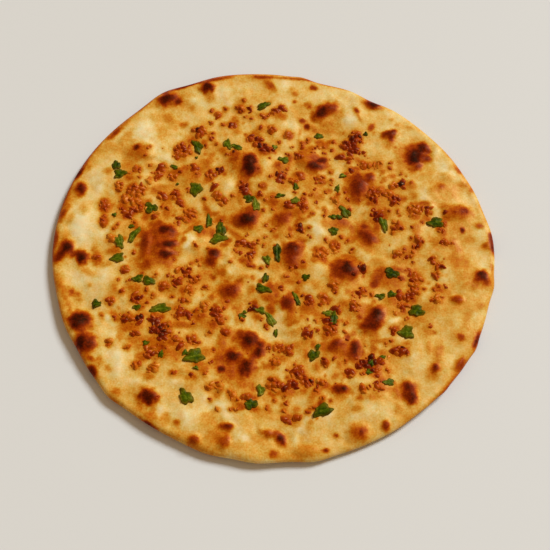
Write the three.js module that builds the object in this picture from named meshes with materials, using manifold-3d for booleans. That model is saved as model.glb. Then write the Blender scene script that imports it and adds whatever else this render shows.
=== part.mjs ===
// A round flat naan: one sheet of bread with a thin browned edge and soft charred blisters,
// with chips of toasted garlic and chopped herb leaves stuck to its top.
// Millimetres, +Z up. The origin is the middle of the flat face that the bread rests on.

import * as THREE from 'three';
import Module from 'manifold-3d';
import { mergeVertices } from 'three/addons/utils/BufferGeometryUtils.js';

const wasm = await Module();
wasm.setup();

// ---- Driving dimensions, in millimetres and degrees ----

// The outline is a turned ellipse with named bulges and dents: where, how far out, how wide.
const LONG_RADIUS = 118.4;
const SHORT_RADIUS = 113.9;
const LONG_AXIS_TURN = -26;
const OUTLINE_CENTRE = [-1.03, 0.43];
const BULGES = [
  [121, 2.7, 6], [106, 1.2, 8], [81, 1.2, 3], [76, -1.9, 9], [60, -1.8, 5], [30, 0.9, 9], [18, 1.2, 6],
  [5, 2.6, 8], [-3, 0.7, 4], [-9, 1.5, 3.3], [-27, 0.9, 2.5], [-39, -0.5, 4], [-42, 0.6, 3],
  [-44, -0.7, 2.5], [-50, -0.8, 5], [-62, -0.6, 9], [-79, 1.2, 4], [-94, 1.3, 5], [-106, 1.2, 6],
  [-136, 1.4, 4], [-152, -0.9, 5], [-168, -0.8, 7],
];

const THICKNESS = 6.0;           // in the middle
const EDGE_THICKNESS = 4.3;      // just inside the rounded edge
const EDGE_FALL = 24;            // how far in from the edge the bread thins
const EDGE_MIDDLE = 0.42;        // height of the outermost line, as a share of the edge's thickness
const TOP_ROUND = 3.4;           // how far in the top edge is rounded
const BOTTOM_ROUND = 2.6;        // how far in the bottom edge is rounded

// The underside is flat, and its border lifts off the table: where, how high, how wide.
const LIFT = 0.8;
const LIFT_REACH = 26;
const LIFTS = [[20, 0.6, 16], [100, 0.9, 20], [200, 1.3, 26], [238, 0.9, 12], [-94, 0.8, 12], [-45, 1.5, 14]];

// Slow waves of the baked sheet: wavelength, direction, phase, height.
const SWELLS = [[78, 20, 40, 0.50], [61, 77, 200, 0.42], [47, 140, 95, 0.36], [34, 110, 300, 0.26],
  [27, 48, 10, 0.22], [21, 165, 150, 0.16]];
const SWELL_FADE = 14;           // the waves die out over this width at the edge

// Pale puffs between the blisters: x, y, reach, rise.
const PUFFS = [
  [-69, 77, 12, 1.5], [-104, 20, 11, 1.3], [-98, 46, 9, 1.0], [-45, 10, 9, 1.2], [-26, 1, 8, 1.2],
  [24, 15, 9, 1.3], [24, -7, 8, 1.2], [47, 86, 10, 1.1], [-80, -62, 11, 1.3], [-40, -93, 10, 1.3],
  [-15, -102, 10, 1.2], [48, -83, 11, 1.1], [86, 33, 9, 1.2], [63, 6, 9, 1.1], [-97, -12, 13, 1.2],
  [94, 53, 10, 0.9], [98, -14, 11, 1.0], [0, 101, 12, 0.9], [78, -62, 10, 1.1], [20, -100, 9, 0.9],
];

const NEARER = 0.45;             // every mark and topping lies this far nearer than its row says
const nearer = (rows) => rows.map(([x, y, ...others]) => [x, y - NEARER, ...others]);

// Charred blisters, large enough to stand out as relief: x, y, length, width, turn.
const BLISTERS = nearer([
  [-60.2, 98, 9, 6, 30], [-37.5, 105.5, 7, 6, 0], [26.9, 88.9, 9, 5.8, 45], [32.5, 91.3, 6.5, 5, 25],
  [56.3, 94, 8.8, 5.2, -24], [65.1, 74.6, 7.5, 4, 8], [77.9, 59.8, 11.5, 6.6, 98],
  [82.3, 66.1, 6, 5.5, 0], [83.1, 59.6, 5, 4.5, 0], [-74.5, 63, 11, 10, 0], [-105.3, 40.3, 7, 5.5, 80],
  [-110.7, 4, 8, 6.5, 80], [-101.9, -2.2, 6.8, 6.4, 80], [-58.4, 13.4, 10, 6.5, 0],
  [-56.3, 4.6, 9.5, 5.4, 15], [-58, -0.8, 8, 4.5, 0], [-68.2, 6.5, 13, 4.2, 88], [-62, 7, 17, 16, 0],
  [-13, 57.2, 6.5, 6, 80], [-13.2, 51.5, 7.5, 6, 80], [-17.5, 55.5, 11, 12, 0], [22.6, 53.4, 7, 6, 0],
  [17.8, 56.8, 7, 8, 0], [46.2, 40.5, 14, 7, 85], [52.3, 47, 5.5, 5, 0], [-13.8, 20.5, 8.5, 7.5, 0],
  [-18.5, 20.8, 8, 6, 0], [4.5, 20.5, 8, 7.5, 0], [-31.8, 0, 6.5, 5.5, 45], [-33.5, -4.5, 7, 5.2, 20],
  [10.8, 3.5, 8.5, 6, 0], [10, -1.5, 10, 7, 85], [38.8, -9, 9.5, 8.5, -40], [36.4, -10.4, 13.5, 12, -20],
  [50.8, 10, 9.5, 5.2, -48], [100.5, 25, 12, 7, 5], [110.4, -13, 7, 6.4, 0], [96.4, -26.7, 5.5, 3.8, -5],
  [54, -34.8, 8.6, 6.3, 80], [50.5, -41.2, 9, 5.5, 18], [-22, -21.8, 8, 6.5, 0], [7.3, -28.5, 7.5, 7, 0],
  [-100.7, -37.6, 10, 8, -5], [-102.6, -41.2, 5, 4.6, 30], [-99.3, -49.9, 8.5, 5, 85],
  [-95.2, -51.3, 7.5, 4.8, 85], [-63.7, -80.8, 9, 7.8, -30], [-39.4, -103.2, 4.8, 4.4, 0],
  [-12.8, -49.2, 9, 7.8, -40], [-7.2, -55.8, 9, 5, 65], [-21.2, -58.5, 8.5, 6, 0],
  [-13.6, -64.2, 9.5, 6.3, 75], [-23.2, -96.4, 6.2, 3.6, -8], [-24.5, -104.7, 6, 4.8, 80],
  [3.8, -102.3, 6, 4, -62], [-2.2, -99.9, 7.6, 3.6, -14], [16.8, -108.8, 9.5, 5, 0],
  [33.3, -76.5, 8.5, 4.6, 0], [32.4, -52.2, 7.5, 4.8, 45], [42, -54.9, 9, 4.6, 78],
  [69, -75.7, 7, 5.6, 100], [70.3, -81, 7, 5, 80], [43, -99.5, 9, 7.5, 0], [56.6, -96, 4.8, 3.4, 80],
  [83.2, -64.9, 4.6, 2.8, 80], [96.2, -63, 6.6, 4.5, 60],
]);
const BLISTER_RISE = 0.55;       // a blister's height is this times the root of its width
const BLISTER_SPREAD = 0.62;     // reach of the dome, as a share of the blister's length and width

// Heaps of toasted garlic chips: x, y, reach.
const GARLIC_HEAPS = nearer([
  [-19, 91.2, 2.6], [4, 90.8, 2.9], [-30.9, 87.4, 2.1], [-23, 80.8, 2.3], [-1.3, 76.8, 2.4],
  [-13, 71.8, 2.7], [-8, 70.5, 2.4], [-4.5, 64.6, 3.4], [8.4, 74.2, 2.4], [14.3, 60.8, 2.5],
  [37.2, 60.4, 2.3], [45.6, 73.8, 3.1], [45.4, 70.2, 3.0], [44, 66.4, 3.6], [43.4, 62.6, 2.7],
  [39.5, 66.8, 2.4], [50.7, 54.5, 3.0], [57.6, 55.4, 2.8], [-41.4, 76, 3.8], [-51, 65.5, 3.8],
  [-51.7, 60.5, 3.4], [-61.5, 53, 3.0], [-75.2, 52.3, 2.3], [-55.5, 47.2, 2.4], [-43.7, 52.8, 2.5],
  [-29.3, 51, 2.4], [-34.8, 49, 2.8], [-84.8, 41, 2.9], [-75, 39, 5.2], [-78.8, 25, 3.8],
  [-72.5, 28, 2.8], [-53.2, 36.3, 2.6], [-60.5, 35, 2.6], [-45.3, 25.6, 3.5], [-47.5, 21, 2.5],
  [-91.6, 30, 3.2], [-92, 21, 2.4], [-87.2, 8.9, 2.4], [-94, -2.4, 2.5], [3.7, 46.3, 3.8],
  [15, 47.6, 2.5], [10.5, 44.6, 2.3], [-15.5, 39.6, 2.8], [-33, 40.8, 1.8], [-30.5, 35, 2.7],
  [-27, 31.6, 2.2], [25.6, 45.6, 3.2], [9, 29, 2.6], [16, 29, 3.2], [14.2, 14.6, 2.4], [33, 32.3, 2.5],
  [-17.6, 6.5, 3.0], [-12, -0.8, 2.7], [25.4, 0.6, 3.6], [32.8, 3.9, 3.5], [66.6, 16.4, 3.6],
  [56.3, 23.2, 3.8], [54.2, 36.5, 3.6], [66, 32.4, 3.2], [70.6, 42, 2.8], [65.5, 41.5, 2.0],
  [77.2, 26, 4.6], [77.6, 6.5, 3.1], [91.8, 6.7, 2.3], [66, -0.4, 2.2], [85, -2.8, 2.2], [88, -7, 2.5],
  [86, -12, 2.3], [74.8, -13.6, 3.6], [74.6, -18.2, 2.8], [74.2, -22.6, 3.2], [71.2, -25.2, 2.3],
  [67, -24, 3.0], [68, -30.3, 2.6], [85.3, -26.6, 3.0], [46.8, -8.8, 2.2], [46.5, -22.5, 2.7],
  [42.4, -30.4, 2.8], [33, -32.6, 2.3], [-50, -9.1, 2.3], [-45.6, -10, 2.6], [-44.6, -13.6, 2.3],
  [-41.8, -15.6, 2.3], [-57.8, -19.2, 2.6], [-44.6, -20.6, 2.7], [-46.8, -26.6, 2.3], [-79, -9.4, 2.1],
  [-72.2, -25.2, 3.4], [-85.2, -27.2, 2.4], [-76.2, -37.2, 3.2], [-70.4, -38, 2.8], [-62.2, -38, 3.0],
  [-60.3, -43.6, 4.0], [-49.8, -34.2, 3.2], [-45.2, -35.6, 2.4], [-71.5, -46, 2.0], [-84.6, -50.6, 2.2],
  [-63.3, -56, 4.0], [-70.5, -62.7, 2.3], [-61.7, -65, 2.6], [-50.4, -49.8, 2.4], [-42.3, -48.8, 2.6],
  [-29.8, -33.9, 3.3], [-28, -38.3, 2.8], [-24.5, -44.5, 2.6], [-10.7, -31.2, 2.7], [19.2, -27.2, 2.9],
  [25.9, -25.2, 2.2], [26.2, -28.8, 2.4], [31.8, -19.4, 2.7], [17.9, -45.8, 3.4], [29.8, -43.8, 3.9],
  [26.3, -61.6, 2.3], [38.9, -67.4, 2.7], [2.4, -53.6, 3.0], [8.1, -55.2, 3.2], [1.1, -61.2, 2.3],
  [12.8, -67.5, 4.4], [0.2, -73.4, 4.0], [5.4, -75.8, 2.4], [10, -74.3, 2.8], [17.4, -72.8, 3.1],
  [6.2, -92, 2.5], [12.1, -91.2, 2.0], [-27.5, -76.2, 2.2], [-21.4, -79.2, 2.4], [-13.6, -80.9, 2.7],
  [62.9, -44.2, 2.3], [63.3, -55.1, 2.6], [67.3, -55.4, 2.6], [44, -63, 2.5], [47.4, -63.2, 2.3],
  [52.2, -67.2, 2.9], [50.6, -59.3, 2.4], [45.8, -76.8, 2.2], [53.6, -75.6, 2.6], [-32.8, -75, 2.1],
  [-63.4, 48.4, 2.6], [54.8, 31.8, 2.4], [58, 37.5, 2.6], [83.5, 26.4, 2.6], [-57, -47.2, 3.4],
  [-47.5, -52.5, 2.5],
]).concat([
  [-47.5, 64, 2.4], [41, 67.5, 2.6], [62.8, 35.8, 2.4], [65, 13.4, 2.4], [-50.5, 31.3, 2.4],
  [-12.3, 5.5, 2.3], [-50.3, -16.8, 2.8], [-92.4, 17.6, 2.2], [-55.2, -41.5, 2.4], [-54.6, -46, 2.4],
  [-36, -31, 2.8], [28, -39, 2.3], [-64.3, 23, 2.3], [-81.5, 33, 2.4], [-8.4, 66.6, 2.3],
  [0.9, 88.6, 2.2], [42, 57.6, 2.3], [-14.4, 37, 2.2], [-76.2, 31.6, 2.6], [-68.6, 44.3, 2.2],
  [24.3, -73.4, 2.3], [54, -61.7, 2.3],
]);
const CHIPS_PER_AREA = 0.38;     // chips in a heap, for each square millimetre of reach squared
const LARGEST_CHIP = 3.4;
const SMALLEST_CHIP = 2.0;
const SMALLEST_FUSED = 3.05;     // chips under this size are too small for the solid
const HEAP_FILL = 0.9;           // how far out the outermost chips lie, as a share of the reach
const FIRST_CHIP = 0.3;          // the first chip's step out, so that it isn't quite in the middle
const ANGLE_JITTER = 0.6;        // how far round a chip may stray, in radians
const SIZE_RANGE = [0.82, 1.12]; // a chip's size varies between these shares
const CHIP_STRETCH = [0.82, 1.18];           // and so does each corner's distance from its middle
const CHIP_SQUASH = [1, 0.85, 0.66];         // a chip's length, width and height, as shares of its size
const CHIP_TIP = 0.5;            // how far a chip tips at most, in radians
const CHIP_RAISED = 0.13;        // its middle is this far over the crust, as a share of its size
const CHIP_SEED = 500;

// Herb leaves: x, y, length, width, turn.
const HERB_LEAVES = nearer([
  [-5.7, 92.9, 9, 4.6, 33], [-25.4, 67.7, 7.5, 4.6, 115], [-20.2, 65.6, 7.6, 3.6, -30],
  [-42.2, 66.6, 9.6, 5.6, 112], [-86.6, 54.2, 6, 5.5, 90], [-84.4, 49, 7.5, 6, 20],
  [25.4, 74, 5.5, 4, 10], [5.8, 57.8, 7, 4.2, -20], [-42.4, 39.6, 9, 7.6, 80], [-13.2, 33.6, 6, 5, 0],
  [-9.4, 29.7, 8.5, 4.6, 100], [3.6, 35.3, 6, 2.6, 10], [12, 31.8, 5.8, 4.8, 0], [38.8, 25.3, 9, 5, -55],
  [32.5, 13.7, 5.5, 5, 0], [-34.8, 20.2, 8.5, 3.8, 92], [-28.3, 15.5, 9.5, 6, 100],
  [-29.4, 9.4, 11, 6, 20], [2.2, 0.5, 12.2, 4.4, 92], [-3.4, -3.6, 6.5, 4.2, 110],
  [-4.1, -14.5, 6, 3.9, 80], [-5.4, -20.8, 9.5, 5, -20], [12.2, -25.8, 10, 2.2, -62],
  [-6.6, -32.6, 6.2, 3.8, -25], [-1.4, -37.6, 9.5, 4.5, -60], [28.5, -34.6, 5.5, 4, 0],
  [31.5, -37.8, 9.5, 4.5, 82], [-66.6, 28, 8, 7, 0], [-74.8, 11.2, 12, 4.2, 58],
  [-82.4, 7.2, 9.5, 5.5, 102], [-83, -2.4, 8, 6.2, 15], [-71.6, -14.9, 6.4, 4.6, 20],
  [-65.8, -16.2, 7.6, 5.2, -15], [-93, -28.6, 5.6, 5.2, 0], [-59.2, -31.4, 12, 5.6, 4],
  [-40.6, -58.6, 11.5, 9, 15], [-44.4, -80.6, 10, 7, -50], [-6.4, -76.9, 7, 4.5, 100],
  [-11.3, -84.4, 7.5, 6.5, 0], [20.8, -57.8, 7, 5.8, 30], [25, -88, 11, 7.4, 20],
  [87.5, 18.5, 9.5, 7, 10], [59.5, 18, 11, 4.5, 108], [62.8, -11.3, 9, 6, -25], [62.3, -23.4, 5.2, 4, 0],
  [75, -33, 8.8, 7.4, -10], [69.2, -45, 8.8, 8, 0], [59, -72.7, 6.6, 4, 10],
]);
const LEAF_POINTS = 10;
const LEAF_THICKNESS = 0.55;     // stands this far above the crust
const LEAF_SUNK = 0.6;           // and reaches this far into it
const LEAF_CURL = 0.5;           // how far a leaf's middle rises
const LEAF_LOBES = [[3, 0.16], [5, 0.1]];    // how many lobes, and how far out they reach
const LEAF_SEED = 900;

// The crust's faces: rings of six more points each, then the rounded edge.
const RINGS = 20;
const EDGE_LINES = [6.0, 2.6, 0.8];          // distances in from the edge, on the top
const UNDERSIDE_LINES = [1.3, 8.0];          // and on the underside, before the flat part
const CRUST_COLOUR = 0xdcb36b;
const CRUST_ROUGHNESS = 0.62;

// ---- Small helpers ----

const radians = (degrees) => (degrees * Math.PI) / 180;
const hump = (value, spread) => Math.exp(-((value / spread) ** 2));
const between = ([low, high], share) => low + (high - low) * share;
const GOLDEN_ANGLE = radians(137.508);

// Shortest signed turn from one direction to another, in degrees.
const turnBetween = (a, b) => ((((a - b) % 360) + 540) % 360) - 180;

// Repeatable random numbers from 0 to 1, by the Park-Miller rule.
const RANDOM_STEP = 48271;
const RANDOM_LIMIT = 2147483647;
const SEED_STEP = 7919;
const SEED_START = 101;
function seeded(start) {
  let state = start * SEED_STEP + SEED_START;
  return () => {
    state = (state * RANDOM_STEP) % RANDOM_LIMIT;
    return state / RANDOM_LIMIT;
  };
}

// ---- The form of the bread ----

// Distance from the outline's centre to its edge in one direction.
function edgeRadius(angle) {
  const across = angle - radians(LONG_AXIS_TURN);
  const ellipse = (LONG_RADIUS * SHORT_RADIUS)
    / Math.hypot(SHORT_RADIUS * Math.cos(across), LONG_RADIUS * Math.sin(across));
  const degrees = THREE.MathUtils.radToDeg(angle);
  return BULGES.reduce((sum, [at, out, wide]) => sum + out * hump(turnBetween(degrees, at), wide), ellipse);
}

// The place at a distance in from the edge, in one direction.
function insideEdge(angle, gap) {
  const reach = edgeRadius(angle) - gap;
  return [OUTLINE_CENTRE[0] + reach * Math.cos(angle), OUTLINE_CENTRE[1] + reach * Math.sin(angle)];
}

// Underside height: flat, with a border that lifts and then rounds up into the edge.
function undersideHeight(angle, gap, rounded = true) {
  const degrees = THREE.MathUtils.radToDeg(angle);
  const lift = LIFTS.reduce((sum, [at, up, wide]) => sum + up * hump(turnBetween(degrees, at), wide), LIFT);
  const near = Math.max(0, 1 - gap / LIFT_REACH);
  const inRound = Math.max(0, 1 - gap / BOTTOM_ROUND);
  const rounding = EDGE_MIDDLE * EDGE_THICKNESS * (1 - Math.sqrt(1 - inRound * inRound));
  return lift * near * near + (rounded ? rounding : 0);
}

// Relief of the top: slow swells, pale puffs and charred blisters.
function relief(x, y) {
  const swell = SWELLS.reduce((sum, [length, turn, phase, height]) => {
    const along = x * Math.cos(radians(turn)) + y * Math.sin(radians(turn));
    return sum + height * Math.sin((2 * Math.PI * along) / length + radians(phase));
  }, 0);
  const puffs = PUFFS.reduce((sum, [px, py, reach, rise]) => {
    const distance = Math.hypot(x - px, y - py);
    return sum + rise * hump(distance, reach);
  }, 0);
  const blisters = BLISTERS.reduce((sum, [bx, by, long, wide, turn]) => {
    const [c, s] = [Math.cos(radians(turn)), Math.sin(radians(turn))];
    const along = ((x - bx) * c + (y - by) * s) / (long * BLISTER_SPREAD);
    const across = ((y - by) * c - (x - bx) * s) / (wide * BLISTER_SPREAD);
    return sum + BLISTER_RISE * Math.sqrt(wide) * hump(Math.hypot(along, across), 1);
  }, 0);
  return { swell, bumps: puffs + blisters };
}

// Top height: the underside's lift, plus a thickness that thins and rounds down at the edge.
function topHeight(angle, gap, x, y) {
  const thickness = THICKNESS - (THICKNESS - EDGE_THICKNESS) * hump(gap, EDGE_FALL);
  const inRound = Math.max(0, 1 - gap / TOP_ROUND);
  const rounding = EDGE_MIDDLE + (1 - EDGE_MIDDLE) * Math.sqrt(1 - inRound * inRound);
  const { swell, bumps } = relief(x, y);
  const settled = Math.min(1, gap / SWELL_FADE);
  return undersideHeight(angle, gap, false) + thickness * rounding + swell * settled
    + bumps * Math.min(1, gap / TOP_ROUND);
}

// ---- The bread's own faces ----

function breadGeometry() {
  const points = [];
  const triangles = [];
  const addTop = (angle, gap) => {
    const [x, y] = insideEdge(angle, gap);
    points.push(x, y, topHeight(angle, gap, x, y));
  };
  const addUnder = (angle, gap) => {
    const [x, y] = insideEdge(angle, gap);
    points.push(x, y, undersideHeight(angle, gap));
  };
  const pointCount = () => points.length / 3;

  // Rings of the top: ring k has 6k points, and its radius is k steps of the way to the edge.
  addTop(0, edgeRadius(0));
  for (let ring = 1; ring <= RINGS; ring += 1) {
    for (let i = 0; i < 6 * ring; i += 1) {
      const angle = (2 * Math.PI * i) / (6 * ring);
      const reach = edgeRadius(angle);
      addTop(angle, reach - ((reach - EDGE_LINES[0]) * ring) / RINGS);
    }
  }
  const ringStart = (ring) => (ring === 0 ? 0 : 1 + 3 * ring * (ring - 1));
  const ringPoint = (ring, i) => (ring === 0 ? 0 : ringStart(ring) + (i % (6 * ring)));
  for (let ring = 1; ring <= RINGS; ring += 1) {
    for (let i = 0; i < 6 * ring; i += 1) {
      const sector = Math.floor(i / ring);
      const inner = i - sector;
      triangles.push(ringPoint(ring, i), ringPoint(ring, i + 1), ringPoint(ring - 1, inner));
      if (i % ring < ring - 1) {
        triangles.push(ringPoint(ring - 1, inner), ringPoint(ring, i + 1), ringPoint(ring - 1, inner + 1));
      }
    }
  }

  // Lines round the edge and under it, each joined to the one before.
  const around = 6 * RINGS;
  const lines = [
    ...EDGE_LINES.slice(1).map((gap) => [addTop, gap]),
    [addTop, 0],
    ...UNDERSIDE_LINES.map((gap) => [addUnder, gap]),
    [addUnder, LIFT_REACH],
  ];
  let before = ringStart(RINGS);
  lines.forEach(([add, gap]) => {
    const start = pointCount();
    for (let i = 0; i < around; i += 1) {
      add((2 * Math.PI * i) / around, gap);
    }
    for (let i = 0; i < around; i += 1) {
      const next = (i + 1) % around;
      triangles.push(before + i, start + i, start + next, before + i, start + next, before + next);
    }
    before = start;
  });

  // The flat underside, as a fan from its middle.
  const middle = pointCount();
  points.push(OUTLINE_CENTRE[0], OUTLINE_CENTRE[1], 0);
  for (let i = 0; i < around; i += 1) {
    triangles.push(before + i, middle, before + ((i + 1) % around));
  }

  const geometry = new THREE.BufferGeometry();
  geometry.setAttribute('position', new THREE.Float32BufferAttribute(points, 3));
  geometry.setIndex(triangles);
  return geometry;
}

// ---- Toppings ----

// The crust's height at a place, met from above.
function crustFinder(geometry) {
  const crust = new THREE.Mesh(geometry, new THREE.MeshBasicMaterial());
  const caster = new THREE.Raycaster();
  const above = 100;
  return (x, y) => {
    caster.set(new THREE.Vector3(x, y, above), new THREE.Vector3(0, 0, -1));
    return above - caster.intersectObject(crust)[0].distance;
  };
}

// The chips of one heap, largest first, laid out like seeds in a sunflower.
function heapChips([x, y, reach], heapNumber) {
  const random = seeded(heapNumber + 1);
  const count = Math.max(1, Math.round(CHIPS_PER_AREA * reach * reach));
  return Array.from({ length: count }, (_, i) => {
    const share = (i + FIRST_CHIP) / count;
    const angle = i * GOLDEN_ANGLE + heapNumber + ANGLE_JITTER * random();
    const distance = reach * HEAP_FILL * Math.sqrt(share);
    const size = between([LARGEST_CHIP, SMALLEST_CHIP], share) * between(SIZE_RANGE, random());
    return {
      x: x + distance * Math.cos(angle),
      y: y + distance * Math.sin(angle),
      size,
      turn: 2 * Math.PI * random(),
    };
  });
}

// One chip of garlic: a small uneven lump of twenty faces, sunk a little into the crust.
function chipGeometry({ x, y, size, turn }, crustHeight, chipNumber) {
  const random = seeded(chipNumber + CHIP_SEED);
  const ball = new THREE.IcosahedronGeometry(size / 2, 0);
  const geometry = mergeVertices(ball.deleteAttribute('normal').deleteAttribute('uv'));
  const places = geometry.getAttribute('position');
  for (let i = 0; i < places.count; i += 1) {
    const stretch = between(CHIP_STRETCH, random());
    const [long, wide, high] = CHIP_SQUASH.map((share) => share * stretch);
    places.setXYZ(i, places.getX(i) * long, places.getY(i) * wide, places.getZ(i) * high);
  }
  geometry.rotateX(CHIP_TIP * random());
  geometry.rotateZ(turn);
  geometry.translate(x, y, crustHeight(x, y) + CHIP_RAISED * size);
  return geometry;
}

// One herb leaf: a thin wavy lobed plate that follows the crust, with its middle a little raised.
function leafGeometry([x, y, long, wide, turn], crustHeight, leafNumber) {
  const random = seeded(leafNumber + LEAF_SEED);
  const lobes = LEAF_LOBES.map(([count, out]) => [count, out, 2 * Math.PI * random()]);
  const [c, s] = [Math.cos(radians(turn)), Math.sin(radians(turn))];
  const outline = Array.from({ length: LEAF_POINTS }, (_, i) => {
    const angle = (2 * Math.PI * i) / LEAF_POINTS;
    const reach = lobes.reduce((sum, [count, out, start]) => sum + out * Math.cos(count * angle + start), 1);
    const along = (long / 2) * reach * Math.cos(angle);
    const across = (wide / 2) * reach * Math.sin(angle);
    return [x + along * c - across * s, y + along * s + across * c];
  });
  const points = [x, y, crustHeight(x, y) + LEAF_THICKNESS + LEAF_CURL, x, y, crustHeight(x, y) - LEAF_SUNK];
  outline.forEach(([px, py]) => {
    const ground = crustHeight(px, py);
    points.push(px, py, ground + LEAF_THICKNESS, px, py, ground - LEAF_SUNK);
  });
  const triangles = [];
  for (let i = 0; i < LEAF_POINTS; i += 1) {
    const here = 2 + 2 * i;
    const next = 2 + 2 * ((i + 1) % LEAF_POINTS);
    triangles.push(0, here, next, 1, next + 1, here + 1);
    triangles.push(here, here + 1, next + 1, here, next + 1, next);
  }
  const geometry = new THREE.BufferGeometry();
  geometry.setAttribute('position', new THREE.Float32BufferAttribute(points, 3));
  geometry.setIndex(triangles);
  return geometry;
}

// ---- Joining ----

function toSolid(geometry) {
  const merged = mergeVertices(geometry);
  return new wasm.Manifold(new wasm.Mesh({
    numProp: 3,
    vertProperties: new Float32Array(merged.getAttribute('position').array),
    triVerts: new Uint32Array(merged.getIndex().array),
  }));
}

function toGeometry(solid) {
  const mesh = solid.getMesh();
  const geometry = new THREE.BufferGeometry();
  geometry.setAttribute('position', new THREE.BufferAttribute(mesh.vertProperties, 3));
  geometry.setIndex(new THREE.BufferAttribute(mesh.triVerts, 1));
  geometry.computeVertexNormals();
  return geometry;
}

const bread = breadGeometry();
const crustHeight = crustFinder(bread);
const chips = GARLIC_HEAPS.flatMap(heapChips).filter(({ size }) => size >= SMALLEST_FUSED);
const toppings = [
  ...chips.map((chip, i) => chipGeometry(chip, crustHeight, i)),
  ...HERB_LEAVES.map((leaf, i) => leafGeometry(leaf, crustHeight, i)),
];
const whole = toppings.reduce((solid, topping) => solid.add(toSolid(topping)), toSolid(bread));

const naan = new THREE.Mesh(
  toGeometry(whole),
  new THREE.MeshStandardMaterial({ color: CRUST_COLOUR, roughness: CRUST_ROUGHNESS, metalness: 0 }),
);
naan.name = 'naan_bread';

const group = new THREE.Group();
group.add(naan);

export default group;
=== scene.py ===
"""A round flat naan with charred blisters, toasted garlic chips and chopped herb leaves.

The tables of places and sizes are in millimetres and degrees. The meshes are in metres.
The bread rests on z = 0, with +Z up and -Y towards the near edge.
"""

import math

import bpy
import numpy as np
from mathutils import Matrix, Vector


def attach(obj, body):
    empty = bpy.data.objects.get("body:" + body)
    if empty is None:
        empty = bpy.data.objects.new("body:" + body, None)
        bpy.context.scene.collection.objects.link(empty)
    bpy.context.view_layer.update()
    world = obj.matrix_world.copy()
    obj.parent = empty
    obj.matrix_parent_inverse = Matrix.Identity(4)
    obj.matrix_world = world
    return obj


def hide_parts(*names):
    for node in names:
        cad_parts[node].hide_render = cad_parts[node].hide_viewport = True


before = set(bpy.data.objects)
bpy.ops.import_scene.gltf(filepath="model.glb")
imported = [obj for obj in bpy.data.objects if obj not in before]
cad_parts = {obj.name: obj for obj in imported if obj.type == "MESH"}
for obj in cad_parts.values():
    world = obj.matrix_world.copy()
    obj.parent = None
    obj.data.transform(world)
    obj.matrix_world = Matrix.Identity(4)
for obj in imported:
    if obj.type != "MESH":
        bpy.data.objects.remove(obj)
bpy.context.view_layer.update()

MM = 0.001
BODY = "root"
NODE = "naan_bread"

NEARER = 0.45                    # how much nearer the rows of a table lie that is given to nearer()


def nearer(rows):
    """The rows of a table, moved a little nearer. Rows added after them lie where they say."""
    return [(x, y - NEARER, *others) for x, y, *others in rows]


# ---- The bread's outline: a turned ellipse with bulges and dents (angle, out, spread) ----

LONG_RADIUS = 118.4
SHORT_RADIUS = 113.9
LONG_AXIS_TURN = -26
OUTLINE_CENTRE = (-1.03, 0.43)
BULGES = [
    (121, 2.7, 6), (106, 1.2, 8), (81, 1.2, 3), (76, -1.9, 9), (60, -1.8, 5), (30, 0.9, 9), (18, 1.2, 6),
    (5, 2.6, 8), (-3, 0.7, 4), (-9, 1.5, 3.3), (-27, 0.9, 2.5), (-39, -0.5, 4), (-42, 0.6, 3),
    (-44, -0.7, 2.5), (-50, -0.8, 5), (-62, -0.6, 9), (-79, 1.2, 4), (-94, 1.3, 5), (-106, 1.2, 6),
    (-136, 1.4, 4), (-152, -0.9, 5), (-168, -0.8, 7),
]

# ---- Thickness and edge ----

THICKNESS = 6.0
EDGE_THICKNESS = 4.3
EDGE_FALL = 24
EDGE_MIDDLE = 0.42
TOP_ROUND = 3.4
BOTTOM_ROUND = 2.6
LIFT = 0.8
LIFT_REACH = 26
LIFTS = [(20, 0.6, 16), (100, 0.9, 20), (200, 1.3, 26), (238, 0.9, 12), (-94, 0.8, 12), (-45, 1.5, 14)]

# ---- Slow waves of the sheet: wavelength, direction, phase, height ----

SWELLS = [(78, 20, 40, 0.50), (61, 77, 200, 0.42), (47, 140, 95, 0.36), (34, 110, 300, 0.26),
          (27, 48, 10, 0.22), (21, 165, 150, 0.16)]
SWELL_FADE = 14

# ---- Pale puffs: x, y, reach, rise ----

PUFFS = [
    (-69, 77, 12, 1.5), (-104, 20, 11, 1.3), (-98, 46, 9, 1.0), (-45, 10, 9, 1.2), (-26, 1, 8, 1.2),
    (24, 15, 9, 1.3), (24, -7, 8, 1.2), (47, 86, 10, 1.1), (-80, -62, 11, 1.3), (-40, -93, 10, 1.3),
    (-15, -102, 10, 1.2), (48, -83, 11, 1.1), (86, 33, 9, 1.2), (63, 6, 9, 1.1), (-97, -12, 13, 1.2),
    (94, 53, 10, 0.9), (98, -14, 11, 1.0), (0, 101, 12, 0.9), (78, -62, 10, 1.1), (20, -100, 9, 0.9),
]

# ---- Charred blisters: x, y, length, width, turn, char (0.5 amber, 1 near black) ----

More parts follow.
